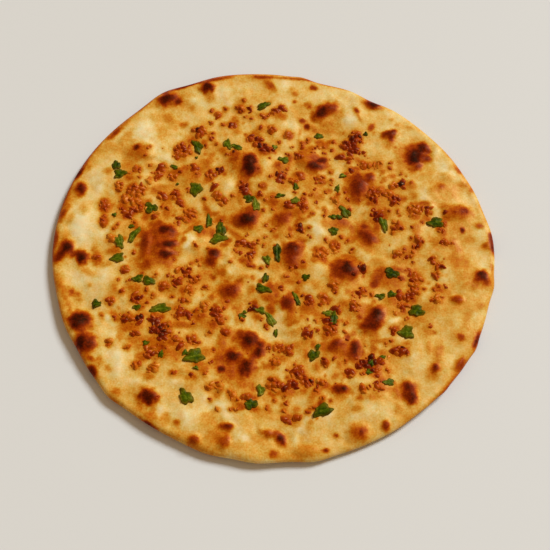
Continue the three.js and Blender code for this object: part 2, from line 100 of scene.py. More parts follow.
BLISTERS = nearer([
    (-60.2, 98, 9, 6, 30, 0.95), (-37.5, 105.5, 7, 6, 0, 0.97), (26.9, 88.9, 9, 5.8, 45, 0.97),
    (32.5, 91.3, 6.5, 5, 25, 0.82), (56.3, 94, 8.8, 5.2, -24, 0.97), (65.1, 74.6, 7.5, 4, 8, 0.90),
    (77.9, 59.8, 11.5, 6.6, 98, 1.0), (82.3, 66.1, 6, 5.5, 0, 0.95), (83.1, 59.6, 5, 4.5, 0, 0.80),
    (-74.5, 63, 11, 10, 0, 0.53), (-105.3, 40.3, 7, 5.5, 80, 0.93), (-110.7, 4, 8, 6.5, 80, 1.0),
    (-101.9, -2.2, 6.8, 6.4, 80, 1.0), (-58.4, 13.4, 10, 6.5, 0, 0.98), (-56.3, 4.6, 9.5, 5.4, 15, 0.97),
    (-58, -0.8, 8, 4.5, 0, 0.94), (-68.2, 6.5, 13, 4.2, 88, 0.80), (-62, 7, 17, 16, 0, 0.67),
    (-13, 57.2, 6.5, 6, 80, 0.97), (-13.2, 51.5, 7.5, 6, 80, 1.0), (-17.5, 55.5, 11, 12, 0, 0.55),
    (22.6, 53.4, 7, 6, 0, 0.93), (17.8, 56.8, 7, 8, 0, 0.52), (46.2, 40.5, 14, 7, 85, 0.86),
    (52.3, 47, 5.5, 5, 0, 0.82), (-13.8, 20.5, 8.5, 7.5, 0, 1.0), (-18.5, 20.8, 8, 6, 0, 0.68),
    (4.5, 20.5, 8, 7.5, 0, 0.74), (-31.8, 0, 6.5, 5.5, 45, 0.93), (-33.5, -4.5, 7, 5.2, 20, 0.80),
    (10.8, 3.5, 8.5, 6, 0, 0.90), (10, -1.5, 10, 7, 85, 0.78), (38.8, -9, 9.5, 8.5, -40, 1.0),
    (36.4, -10.4, 13.5, 12, -20, 0.76), (50.8, 10, 9.5, 5.2, -48, 0.85), (100.5, 25, 12, 7, 5, 0.60),
    (110.4, -13, 7, 6.4, 0, 0.95), (96.4, -26.7, 5.5, 3.8, -5, 0.74), (54, -34.8, 8.6, 6.3, 80, 0.98),
    (50.5, -41.2, 9, 5.5, 18, 0.88), (-22, -21.8, 8, 6.5, 0, 0.82), (7.3, -28.5, 7.5, 7, 0, 0.84),
    (-100.7, -37.6, 10, 8, -5, 1.0), (-102.6, -41.2, 5, 4.6, 30, 0.97), (-99.3, -49.9, 8.5, 5, 85, 0.98),
    (-95.2, -51.3, 7.5, 4.8, 85, 0.88), (-63.7, -80.8, 9, 7.8, -30, 0.96),
    (-39.4, -103.2, 4.8, 4.4, 0, 0.70), (-12.8, -49.2, 9, 7.8, -40, 1.0), (-7.2, -55.8, 9, 5, 65, 0.95),
    (-21.2, -58.5, 8.5, 6, 0, 0.97), (-13.6, -64.2, 9.5, 6.3, 75, 0.95),
    (-23.2, -96.4, 6.2, 3.6, -8, 0.88), (-24.5, -104.7, 6, 4.8, 80, 0.67), (3.8, -102.3, 6, 4, -62, 0.95),
    (-2.2, -99.9, 7.6, 3.6, -14, 0.66), (16.8, -108.8, 9.5, 5, 0, 0.45), (33.3, -76.5, 8.5, 4.6, 0, 0.82),
    (32.4, -52.2, 7.5, 4.8, 45, 0.86), (42, -54.9, 9, 4.6, 78, 0.92), (69, -75.7, 7, 5.6, 100, 0.90),
    (70.3, -81, 7, 5, 80, 0.88), (43, -99.5, 9, 7.5, 0, 0.62), (56.6, -96, 4.8, 3.4, 80, 0.76),
    (83.2, -64.9, 4.6, 2.8, 80, 0.87), (96.2, -63, 6.6, 4.5, 60, 0.72),
])
BLISTER_RISE = 0.55              # a blister's height is this times the root of its width
BLISTER_SPREAD = 0.62            # reach of its dome, as a share of its length and width

# ---- Scorch marks that hardly rise: the same columns. A few rows, noted below, are painted shadow cast by leaves or by a blister ----

SCORCHES_AND_SHADOWS = nearer([
    (50, 11, 14, 15, 0, 0.58), (47, 42, 15, 14, 0, 0.62), (104, 25, 3.4, 3, 0, 0.82),
    (98, 24.5, 3, 2.6, 0, 0.75), (78.8, 61.2, 14, 14, 0, 0.66), (29.3, 90, 14.5, 7.4, 35, 0.60),
    (-57.5, 97.5, 14, 8, 12, 0.55), (-16, 20.7, 13.5, 9.5, 0, 0.64), (10, 1, 12, 10.5, 60, 0.62),
    (52.3, -38.4, 13, 10.6, 62, 0.72), (-11.3, -51.2, 11.5, 10, -55, 0.60),
    (-97.3, -50.6, 10.5, 8, 0, 0.66), (36.5, -55.3, 13, 8, 10, 0.58), (-53.7, 96.3, 4, 3.8, 0, 0.88),
    (-1.7, 106.6, 7.5, 4.4, -50, 0.62), (22.8, 105.5, 4.2, 3.4, 0, 0.74),
    (12.4, 101.5, 3.8, 3.4, 0, 0.48), (10.6, 103.5, 3.5, 4, 0, 0.40), (46.9, 89.7, 4, 2.2, -60, 0.74),
    (47.8, 86.2, 7, 2, -68, 0.47), (54.7, 78.8, 4.5, 3.2, 60, 0.64), (-75.8, 65.2, 4, 3.8, 0, 0.92),
    (-88.1, 75.9, 9, 3.6, 48, 0.74), (-107, 50, 9, 3, 55, 0.92), (-113.5, 25, 9, 3.5, 70, 0.70),
    (-117, 9, 8, 3, 85, 0.68), (-114.8, -2.2, 6, 4.4, 80, 0.86), (26.6, 57.6, 6, 4, 10, 0.90),
    (101.9, 14.2, 3.6, 2.8, 90, 0.95), (99, 15, 10, 9, 0, 0.42), (111.2, 17.4, 4.4, 4, 0, 0.62),
    (117.3, 8.4, 10.5, 3.8, 93, 0.82), (113, -16.5, 4, 4, 0, 0.62), (108.7, -30.3, 4, 3, 70, 0.45),
    (-92.8, -66.3, 6.5, 4.5, -50, 0.88), (-80, -77.8, 3.6, 3.4, 0, 0.52),
    (-63.5, -94.6, 8.5, 2.6, -30, 0.84), (-48.4, -94, 3.2, 2.8, 0, 0.60),
    (-26.8, -65.9, 4.4, 4.2, 0, 0.93), (-0.5, -110.2, 4.4, 4, 0, 0.66),
    (26.4, -108.5, 3.5, 2.2, 10, 0.80), (31.7, -100.9, 3, 2.3, -30, 0.72), (67, -79.3, 5, 5, 0, 0.72),
    (44.2, -99.8, 5.5, 2.8, 85, 0.82), (85.4, -55.8, 10, 4.6, 85, 0.50), (97.3, -47.8, 4, 3.6, 0, 0.68),
    (96.8, -47, 8, 7, 0, 0.38), (105.8, -48.8, 9.5, 2.6, 66, 0.88), (89, -75.4, 16, 1.5, 50, 0.62),
    (42.8, -87.2, 5, 3.6, 0, 0.44), (-58.7, 84, 5, 3.8, -20, 0.47), (-50.2, 81, 5.2, 3.6, 0, 0.54),
    (-46, 92.6, 3, 3, 0, 0.48), (91.8, 40.9, 4.4, 4, 0, 0.62), (90, 39.5, 9, 7, 0, 0.46),
    (103.5, 42.5, 5.5, 3.5, 0, 0.46), (108.6, 39.9, 4.5, 3, 65, 0.52), (101.7, 51.5, 7, 3, -60, 0.60),
    (96.5, 7, 5, 3.5, 90, 0.48), (101.3, -5.2, 6, 4.5, 0, 0.46), (96.3, -1.5, 5, 4, 0, 0.46),
    (-67.5, -4, 11, 11, 0, 0.48), (-67.3, -7.2, 5.5, 4, 0, 0.66), (19.1, 80, 3.6, 3.4, -45, 0.84),
    (16.3, 83.5, 3.2, 2.8, 0, 0.74), (-7, 112.3, 11, 2.5, 0, 0.75), (-33, 110.5, 15, 2.2, 12, 0.72),
    (-113, -18, 9, 4.5, 105, 0.50), (-106.2, -21.6, 4.5, 4, 0, 0.66), (-103, -23, 3, 3, 0, 0.52),
    (101.5, -36, 9, 4, 75, 0.42), (53.5, -17.7, 5, 4.5, 60, 0.76), (14, 111.4, 22, 1.4, -4, 0.66),
    (19, 93.6, 4.2, 4.2, 0, 0.52), (36.5, 89, 7, 7, 0, 0.42), (31.8, 78, 9, 3, 80, 0.40),
    (65.3, 71.4, 5, 3.2, 85, 0.82), (64.7, 69.8, 7, 6, 85, 0.46), (66, 83.8, 2.6, 2.6, 0, 0.42),
    (69.7, 80.8, 2.6, 2.4, 0, 0.40), (76.7, 79, 4, 1.4, -22, 0.42), (-16.3, 102.5, 4, 3, 90, 0.33),
    (15, 75.8, 5, 1.6, 80, 0.42), (-86, 66, 8, 5, 0, 0.36), (-97, -18, 2.2, 2.2, 0, 0.42),
    (-102, -25.8, 3, 3, 0, 0.44), (-18, -16.3, 7, 4.5, 30, 0.64), (-25.5, -21, 10, 8, 0, 0.60),
    (-23.5, -27, 9, 5, 0, 0.54), (-29.3, -10.4, 3.6, 3.4, 0, 0.56), (-26.6, -10.5, 4, 3.2, 0, 0.56),
    (-35, -11.6, 14, 5, 0, 0.46), (-10.7, -14.4, 3, 2.2, 85, 0.52), (-48.7, -40.4, 6, 2.2, 0, 0.60),
    (-26.7, -51.2, 4, 3, 0, 0.50), (9, -4.5, 9, 8, 0, 0.56), (56.6, -13, 8, 6, 55, 0.70),
    (44, -35, 10, 8, 0, 0.42), (52.3, -46.1, 3, 2.6, 0, 0.50), (41.7, -46, 3, 2.6, 0, 0.50),
    (11, -39.5, 5, 2.2, 0, 0.56), (15, -36.5, 3.2, 3, 0, 0.50), (8.7, -35.1, 3.4, 2.4, 85, 0.48),
    (12.7, -52.1, 3.2, 2.6, 0, 0.50), (26.7, -48.5, 3, 2.4, 0, 0.56), (2, -24.5, 3.2, 3, 0, 0.60),
    (1.5, -28, 3, 3, 0, 0.60), (-2, -30.5, 4, 3, 40, 0.60), (35.7, -76.3, 4.6, 3.6, -15, 1.0),
    (44, -81.5, 3, 2.6, 0, 0.58), (82.3, -66.8, 8, 6, 70, 0.50), (84.8, -60, 8, 4, 85, 0.42),
    (80, -45, 6, 4.5, 0, 0.44), (18, -96.6, 3.6, 3.4, 0, 0.38), (19.3, -81.8, 4.2, 4, 0, 0.46),
    (-5.7, -90, 8, 5, 0, 0.36), (-28, -101.8, 5, 4, 60, 0.48), (-61.7, -87.8, 3.6, 3, 0, 0.44),
    (-84.7, -64.8, 3.4, 3.2, 0, 0.42), (-49, -68.5, 6, 4, 0, 0.42), (-27.5, -100.5, 12, 11, 0, 0.44),
    (-13.2, 54, 14, 7.6, 85, 0.82), (-38.7, -106, 10, 5, -15, 0.42), (-98.7, -57.8, 6, 4, -50, 0.50),
    (76.5, 34.7, 5, 5, 0, 0.47), (49.3, 16.8, 3, 2.5, 0, 0.80), (22.5, 36, 6, 3, 0, 0.48),
    (35, 25, 5, 4, 0, 0.50), (10, 44.5, 4, 3, 0, 0.52), (38, 18.5, 6, 5, 0, 0.44),
    (-99.5, -40.3, 9.5, 8, 0, 0.56), (-81, 54, 6, 5, 0, 0.45), (-50, 50, 12, 6, -10, 0.46),
    (-46, 45, 8, 5, 0, 0.46), (-36, 55.5, 9, 4, 65, 0.50), (-8, 98, 14, 7, 0, 0.33),
    (14.5, 89.5, 9, 14, 0, 0.36), (30, 77.5, 14, 3, -8, 0.42), (21, 59.5, 6, 4, 0, 0.50),
    (23, 61, 4, 3, 0, 0.48), (20.5, 43.5, 6, 9, 0, 0.40), (41, 54, 3, 4, 0, 0.42),
    # (58, 85, ...) is painted shadow on the near side of a blister
    (58, 85, 16, 6, -15, 0.28), (77, 52.5, 8, 5, 80, 0.46), (82, 47, 10, 5, 0, 0.33),
    (95, 40, 14, 22, 0, 0.36), (102, 21.5, 12, 12, 0, 0.38), (3.5, 28, 8, 8, 0, 0.48),
    # (-12, 26.5, ...) is painted shadow cast by a leaf
    (-12, 26.5, 7, 5, -30, 0.66), (-35, 13.5, 6, 4, 0, 0.50), (21, 42, 8, 11, 80, 0.44),
    (13.5, 23.5, 8, 4, 0, 0.52), (36, 18.8, 8, 6, 0, 0.52), (28.5, 17.5, 5, 4, 0, 0.44),
    # (61.5, -14, ...) is partly brown crust, partly painted shadow cast by a leaf
    (22, -4, 4, 4, 0, 0.42), (61.5, -14, 14, 9, -10, 0.56), (63, -19, 8, 6, 0, 0.46),
    (98.5, -4.6, 9, 9, 0, 0.48), (101, -15, 14, 14, 0, 0.38), (62, -28, 8, 3, -20, 0.50),
    (75, -39.5, 9, 5, 0, 0.42), (-112.5, 11, 6, 6, 60, 0.40), (-106, 0.3, 7, 3.5, 40, 0.72),
    (-95, 1.4, 4, 12, 0, 0.46), (-85, 1.5, 7, 3, 0, 0.52), (-69.5, -53, 3, 4, 0, 0.46),
    (-51, -56.5, 12, 6, 10, 0.52), (-35, -40, 8, 6, 0, 0.42), (-32, -93, 10, 10, 0, 0.40),
    (-89.5, -61, 5, 8, 0, 0.46), (-22, -64, 13, 12, 0, 0.54), (-20, -69, 18, 8, 0, 0.46),
    (8, -79, 8, 3.5, 0, 0.46), (-10, -109, 12, 6, 0, 0.32), (55, -80, 9, 9, 0, 0.30),
    (-1.5, -19.2, 5, 6, 0, 0.66), (17, -32.3, 11, 4, 0, 0.52), (25, -37, 9, 4, -35, 0.52),
]) + [
    (-50.5, 105.9, 20, 1.6, 20, 0.85), (-36, 98.5, 5, 6, 0, 0.45), (-61.5, 76, 8, 10, 0, 0.38),
    (-66, 86, 8, 6, 0, 0.34), (-56, 81, 5, 10, 20, 0.36), (-21, 83, 4, 4, 0, 0.50),
    (-9.5, 74, 5, 3, -20, 0.58), (-34, 61, 3, 3, 0, 0.50), (-21.5, 60, 6, 4, -20, 0.62),
    (-47.5, 53, 4, 3, 0, 0.56), (-4.5, 61.8, 6, 3, 0, 0.62), (2.8, 54.3, 5, 4.5, 0, 0.66),
    (-53, 50.5, 8, 4, 0, 0.58), (-42.7, 47.5, 5, 4, 0, 0.58), (-35, 45, 4.5, 3.5, 0, 0.60),
    (-17, 45, 5, 4, 0, 0.58), (-8.8, 49, 4, 3.5, 0, 0.60), (-5, 41, 4, 4, 0, 0.60),
    (5, 84.5, 6, 4, 0, 0.42), (31, 81, 14, 6, -25, 0.46), (27.5, 68.3, 9, 3.6, -35, 0.60),
    (17, 60, 5, 10, 0, 0.56), (28.3, 54, 4.5, 4.5, 0, 0.60), (40, 48.5, 3, 4, 0, 0.62),
    (67.5, 76, 4, 2.5, 10, 0.75), (86, 50, 5, 5, 0, 0.36), (76, 41, 4, 5, 0, 0.50),
    (87.5, 36.5, 4, 8, 0, 0.36), (93.5, 28, 5, 3, 0, 0.50), (83, 20.5, 4, 3, 0, 0.56),
    (92.5, 19.8, 3.5, 4, 0, 0.58), (89.3, 14.2, 3, 2.5, 0, 0.66), (77, 15, 5, 8, 0, 0.50),
    (55.8, 16, 4, 6.5, 0, 0.62), (60, 22, 4, 4, 0, 0.60), (-35.8, 26, 7, 3, -65, 0.60),
    (-29.8, 21, 4, 2.5, 60, 0.58), (-26, 5.3, 4, 2.5, 0, 0.60), (-38.3, 13.5, 4, 4, 0, 0.60),
    # (-1.7, 0.5, ...) is painted shadow beside a leaf
    (-18.5, 10.3, 18, 2.8, -38, 0.56), (-1.7, 0.5, 4, 12, 0, 0.46), (-18, 34, 4, 9, 15, 0.52),
    (-2.5, 32.5, 6, 9, -30, 0.50), (-24, -14.8, 6, 3, 0, 0.46), (-15.5, -14, 6, 3, 0, 0.46),
    (24.5, 34, 7, 5, 0, 0.50), (37, 19, 5, 4, 0, 0.62), (4, 12, 9, 8, 0, 0.42), (13, 10.5, 6, 4, 0, 0.44),
    (24, -3, 6, 4, 20, 0.56), (55.5, -4.5, 6, 4, 0, 0.42), (16, -8.5, 3.5, 3, 0, 0.60),
    (87, 7, 8, 6, 0, 0.46), (71, 1.5, 6, 5, 0, 0.50), (67, -4.5, 4, 3, 0, 0.46),
    (106.5, -18.5, 5, 4, 0, 0.50), (90, -24.5, 9, 5, 40, 0.42), (83, -31.5, 8, 4, 30, 0.44),
    (66, -34.5, 14, 4, -5, 0.46), (71.5, -30.5, 3, 6, -20, 0.50), (68, -40.3, 8, 3.5, 10, 0.46),
    (77, -38, 8, 3.5, -20, 0.46), (63, -27, 6, 2.6, -15, 0.58), (97, -31, 12, 6, 0, 0.36),
    (-62.5, 17.5, 8, 5, 0, 0.66), (-52, -0.5, 3.5, 3, 0, 0.60), (-60, -5, 8, 4, 0, 0.60),
    (-99, -10.5, 11, 4, -25, 0.40), (-109.5, -21.5, 5, 5, 0, 0.48), (-107.3, -29.5, 12, 2.4, -68, 0.50),
    (-70, -31.8, 3, 4, 0, 0.60), (-62, -35, 3, 3, 0, 0.60), (-84, -19.5, 4, 6, 0, 0.46),
    (-64.5, -50.5, 10, 5, 0, 0.56), (-58.5, -52.8, 5, 4, 0, 0.62), (-67.5, -59.3, 4, 4, 0, 0.58),
    (-34.5, -56.5, 6, 5, 0, 0.50), (-28, -58.5, 4, 10, 0, 0.50), (-62, -91.7, 9, 3.5, -20, 0.52),
    (-72, -78.5, 6, 7, 0, 0.36), (-79.5, -47, 3, 6, 0, 0.40), (-16.3, -86, 6, 4, -15, 0.60),
    (-9.5, -87.6, 5, 3, 0, 0.60), (22, -78, 6, 5, 0, 0.56), (-19.5, -48.5, 4, 4, 0, 0.62),
    (-20, -54.5, 4, 4, 0, 0.60), (22.5, -65, 4, 5, 0, 0.50), (32, -69.3, 4.5, 4, 0, 0.54),
    (17, -57.5, 2.5, 5, 0, 0.55), (16, -52, 5, 4, 0, 0.46), (-8, -103, 12, 4, -35, 0.40),
    (-14, -94, 6, 12, 0, 0.32), (52, -54, 4, 4, 0, 0.58), (56.5, -56.5, 4, 4, 0, 0.50),
    (52.5, -63.5, 3.5, 4, 0, 0.66), (63.3, -87, 4, 5, 0, 0.42), (34, -81.5, 6, 4, 0, 0.46),
    (-3.5, -26, 8, 4, 0, 0.52), (-2.3, -26.3, 4, 4, 0, 0.62), (-18.3, -35, 3, 10, -10, 0.50),
    (7, -37.8, 4, 5, 0, 0.46), (-16.5, -45.5, 4, 4, 0, 0.60), (-68, 31.5, 4, 3.5, 0, 0.54),
    (-90.7, 50.6, 4, 3.4, 0, 0.46), (-102, 53, 4, 5, 0, 0.45), (-92, 67, 5, 4, 0, 0.40),
    (-82, 73, 10, 3.5, 50, 0.38), (-46, 70, 5, 4, 0, 0.60), (-38.3, 69.3, 3, 4, 0, 0.55),
    (-40, 52.3, 4, 4, 0, 0.54), (23.7, 77, 9, 3, -48, 0.50), (20.6, 65, 4, 4, 0, 0.58),
    (22.8, 55, 4, 4, 0, 0.60), (13, 48, 4, 3, 0, 0.60), (4.2, 53, 4, 4, 0, 0.56),
    # (-8.3, 34.5, ...) and (-11.2, 26.6, ...) are painted shadow cast by leaves
    (-8.3, 34.5, 3, 3, 0, 0.62), (-11.2, 26.6, 4, 4, -40, 0.66), (-43.5, 15.5, 11, 2.6, 40, 0.54),
    (-32, 24, 6, 2.4, 15, 0.56), (-27.2, 21.6, 3, 3, 0, 0.60), (-32.7, 12.6, 3, 6, 0, 0.62),
    (-24.1, 7.8, 3.5, 3, 0, 0.64), (8.5, 28, 5, 5, 0, 0.60), (0.3, 31, 4, 3.5, 0, 0.64),
    (14.5, 19.6, 5, 3, 0, 0.60), (12.3, 16, 3, 5, 0, 0.62), (16.3, 7.6, 4, 2.6, 0, 0.58),
    (9, -16.7, 7, 3, 0, 0.54), (30.5, 37.8, 4, 3, 0, 0.56), (14.3, 24.6, 9, 3, 10, 0.58),
    (39, -1.6, 9, 3.5, -10, 0.54), (26.8, -5, 3, 3, 0, 0.58), (-53.2, 36, 4, 4, 0, 0.60),
    (-91.8, 31.2, 4, 5, 0, 0.62), (-58.3, 85.3, 8, 4, -40, 0.48), (-83.5, 81, 9, 3, 50, 0.50),
    (-104.9, 54.5, 6, 3, 55, 0.60), (-82, 70, 8, 3, 0, 0.38), (-9.2, -65.5, 4, 3, 0, 0.58),
    (-4.3, -64.3, 4, 3, 0, 0.54), (-15, -74.2, 9, 4, 0, 0.52), (-10.7, -81.2, 4, 3, 0, 0.62),
    (20.5, -52.8, 3, 4, 0, 0.56), (26.3, -54, 5, 5, 0, 0.56), (-84.1, 3.2, 4, 3, 0, 0.58),
    (-88.5, -6.5, 6, 4, 0, 0.40), (-82.5, -36, 8, 3, -48, 0.54), (-75.4, -19.6, 4, 4, 0, 0.50),
    (-55.6, -7, 4, 7, 0, 0.52), (-60.6, 2.8, 4, 3, 0, 0.66), (-38.5, -37.2, 7, 6, 0, 0.62),
    (-31, -41.5, 5, 6, 0, 0.64), (-52.8, -51.6, 4, 4, 0, 0.64), (-63.4, -70, 5, 3, 0, 0.52),
    (-54.6, -92.3, 5, 6, 0, 0.44), (-67, -87.3, 10, 4, -35, 0.42), (71, 59.5, 6, 15, 0, 0.44),
    (103.2, 25.8, 4.5, 4, 0, 0.80), (60, 50, 3, 3, 0, 0.54), (91.4, 11.5, 3.5, 5, 0, 0.58),
    (66, -9.6, 9, 3, 0, 0.60), (57.5, -10.4, 7, 3, 0, 0.62), (98.7, 2.8, 4, 6, 0, 0.48),
    (63.4, -77.8, 5, 7, 0, 0.52), (72.5, -77, 3, 8, 0, 0.52), (27, -74.8, 4, 3, 0, 0.60),
    (80.3, -54, 3, 8, 0, 0.44), (55, -50, 9, 2.5, 5, 0.52), (45.5, -56.5, 3.5, 4, 0, 0.62),
    (37.8, -56.8, 4, 4, 0, 0.60), (34, -63.7, 3, 4, 0, 0.52), (56.5, -77, 5, 3, 0, 0.55),
    (-11, -21, 4, 5, 0, 0.52), (-32.3, -26, 3.5, 4, 0, 0.58), (-0.9, -33, 4, 4, 0, 0.66),
    # (9, -27, ...) is painted shadow cast by a leaf
    (22.8, -19.8, 3, 4, 0, 0.48), (9, -27, 4, 8, 0, 0.62), (19, -31, 7, 3, 0, 0.60),
    (10.2, -37.5, 6, 6, 0, 0.52), (-64.5, 39, 6, 4, 0, 0.56), (-48, 7.6, 3, 3, 0, 0.58),
    (-16.5, -4, 4, 3.5, 0, 0.60), (-13.3, -4.8, 4, 4, 0, 0.64), (-48, -21.5, 3.5, 4, 0, 0.60),
    (-8.5, -36.4, 4, 3, 0, 0.60), (-9.8, -28.8, 3.5, 3, 0, 0.64), (-46, -41.8, 13, 3, 0, 0.56),
    (22.6, 2.6, 3.5, 3.5, 0, 0.62), (32.5, 6.6, 3, 4, 0, 0.64), (11, -45.5, 9, 5, 0, 0.42),
    (12.5, -22.8, 3, 4, 0, 0.56), (44.5, -33.6, 7, 4, 0, 0.52), (37.5, -30, 6, 4, -35, 0.52),
    (29.5, -43.5, 6, 6, 0, 0.60), (65, -43.6, 3, 3, 0, 0.60), (56, -72.4, 4, 3.5, 0, 0.60),
    (39.7, -59.3, 3.5, 3, 0, 0.62), (51, -81, 7, 3.5, 0, 0.46), (116.4, -8, 8, 2, 90, 0.50),
    (113.9, 5, 4, 4, 0, 0.62), (117.9, 4.5, 6, 2.5, 93, 0.82), (87, -21.6, 4, 2.5, 0, 0.60),
    (-57.5, 24, 4, 6, 0, 0.54), (-10, 24.6, 3.5, 3.5, 0, 0.68), (3.8, 47, 4, 4, 0, 0.66),
    (-94, -60, 4, 3, -50, 0.68), (77, 21.3, 4, 3, 0, 0.60), (-103, 27, 5, 8, 0, 0.36),
    (8, -91.5, 3, 3, 0, 0.62), (-38.5, -63.5, 7, 3, 0, 0.56), (-73, -50, 8, 4, -30, 0.50),
    (-57, 31, 4, 8, 0, 0.50), (37, 28, 5, 4, 0, 0.52), (9, 57.5, 3, 6, 0, 0.62),
    (-6, 62.5, 4, 3, 0, 0.70), (-28, 63.8, 4, 3, 0, 0.55), (-20.3, 57.3, 4, 7, 0, 0.64),
    (-20, 76, 4, 4, 0, 0.46), (-37.8, 56.5, 5, 4, 0, 0.52), (-8, 76, 4, 4, 0, 0.50),
    (-16.5, 42, 3.5, 3, 0, 0.64), (-78.5, 46.5, 6, 4, 0, 0.58), (-60, 41, 10, 3, 0, 0.50),
    (-77, 40, 5, 5, 0, 0.64), (-91.5, 27, 4, 5, 0, 0.64), (-81.5, 28.5, 6, 4, 0, 0.60),
    (-71.8, 28.6, 3, 4, 0, 0.64), (-74, -42.5, 10, 4, 0, 0.56), (-56.5, -58, 5, 4, 0, 0.56),
    (-26.5, -51, 4, 8, 0, 0.56), (-36, -66.5, 5, 3, 0, 0.56), (-74.3, 16, 4, 5, 0, 0.60),
    (-94, -2.6, 4.5, 6, 0, 0.60), (-72, -20.5, 3.5, 5, 0, 0.52), (5, -60.3, 4, 3, 0, 0.54),
    (0, -64.6, 3, 3, 0, 0.60), (12, -87.5, 4, 3, 0, 0.50), (8, -78, 6, 3, 0, 0.60),
    (15.7, -78, 4, 3, 0, 0.54), (-28.8, -60.5, 3, 6, 0, 0.62), (-21.5, -67, 4, 8, 0, 0.62),
    (-17, -107, 13, 4, 0, 0.36), (61, 45, 3, 3, 0, 0.50), (65.5, 47.3, 3.5, 2.5, 0, 0.55),
    (80.4, 53.8, 4, 4, 0, 0.76), (85.3, 58.6, 4, 4, 0, 0.80), (86, 64.5, 2.5, 3, 0, 0.80),
    (82, 29.5, 8, 2.5, 0, 0.60), (53, 29.5, 5, 3, 0, 0.60), (61, 26, 3, 4, 0, 0.56),
    (101.8, 24.5, 3, 5, 0, 0.74), (98, 37, 4, 5, 0, 0.40), (32, 69.8, 4, 2.5, 0, 0.60),
    (23.3, 58.9, 4, 3, 0, 0.66), (9, 72.6, 3.5, 4, 0, 0.62), (15, 47.6, 4, 3, 0, 0.68),
    (27, 43.6, 4, 3, 0, 0.60), (45, 52, 6, 3, 0, 0.62), (47, 57.3, 4, 3, 0, 0.56),
    (22.5, 79.2, 7, 2.5, -20, 0.46), (4, 86, 6, 3, 0, 0.56), (-110, 21, 5, 6, 0, 0.36),
    (-67, 53, 6, 4, 0, 0.40), (105.5, 9, 7, 4, 0, 0.42), (39.5, 24, 5, 5, 0, 0.44),
    (60.5, -30, 5, 8, 0, 0.44), (-37.5, -14.5, 7, 4, 0, 0.44), (2, -8.5, 5, 5, 0, 0.46),
    (15, -1.5, 4, 4, 0, 0.46), (5.5, 40.5, 6, 4, 0, 0.44), (-85, 22, 5, 3, 0, 0.40),
    (-57, 101.5, 4, 3, 0, 0.42),
]
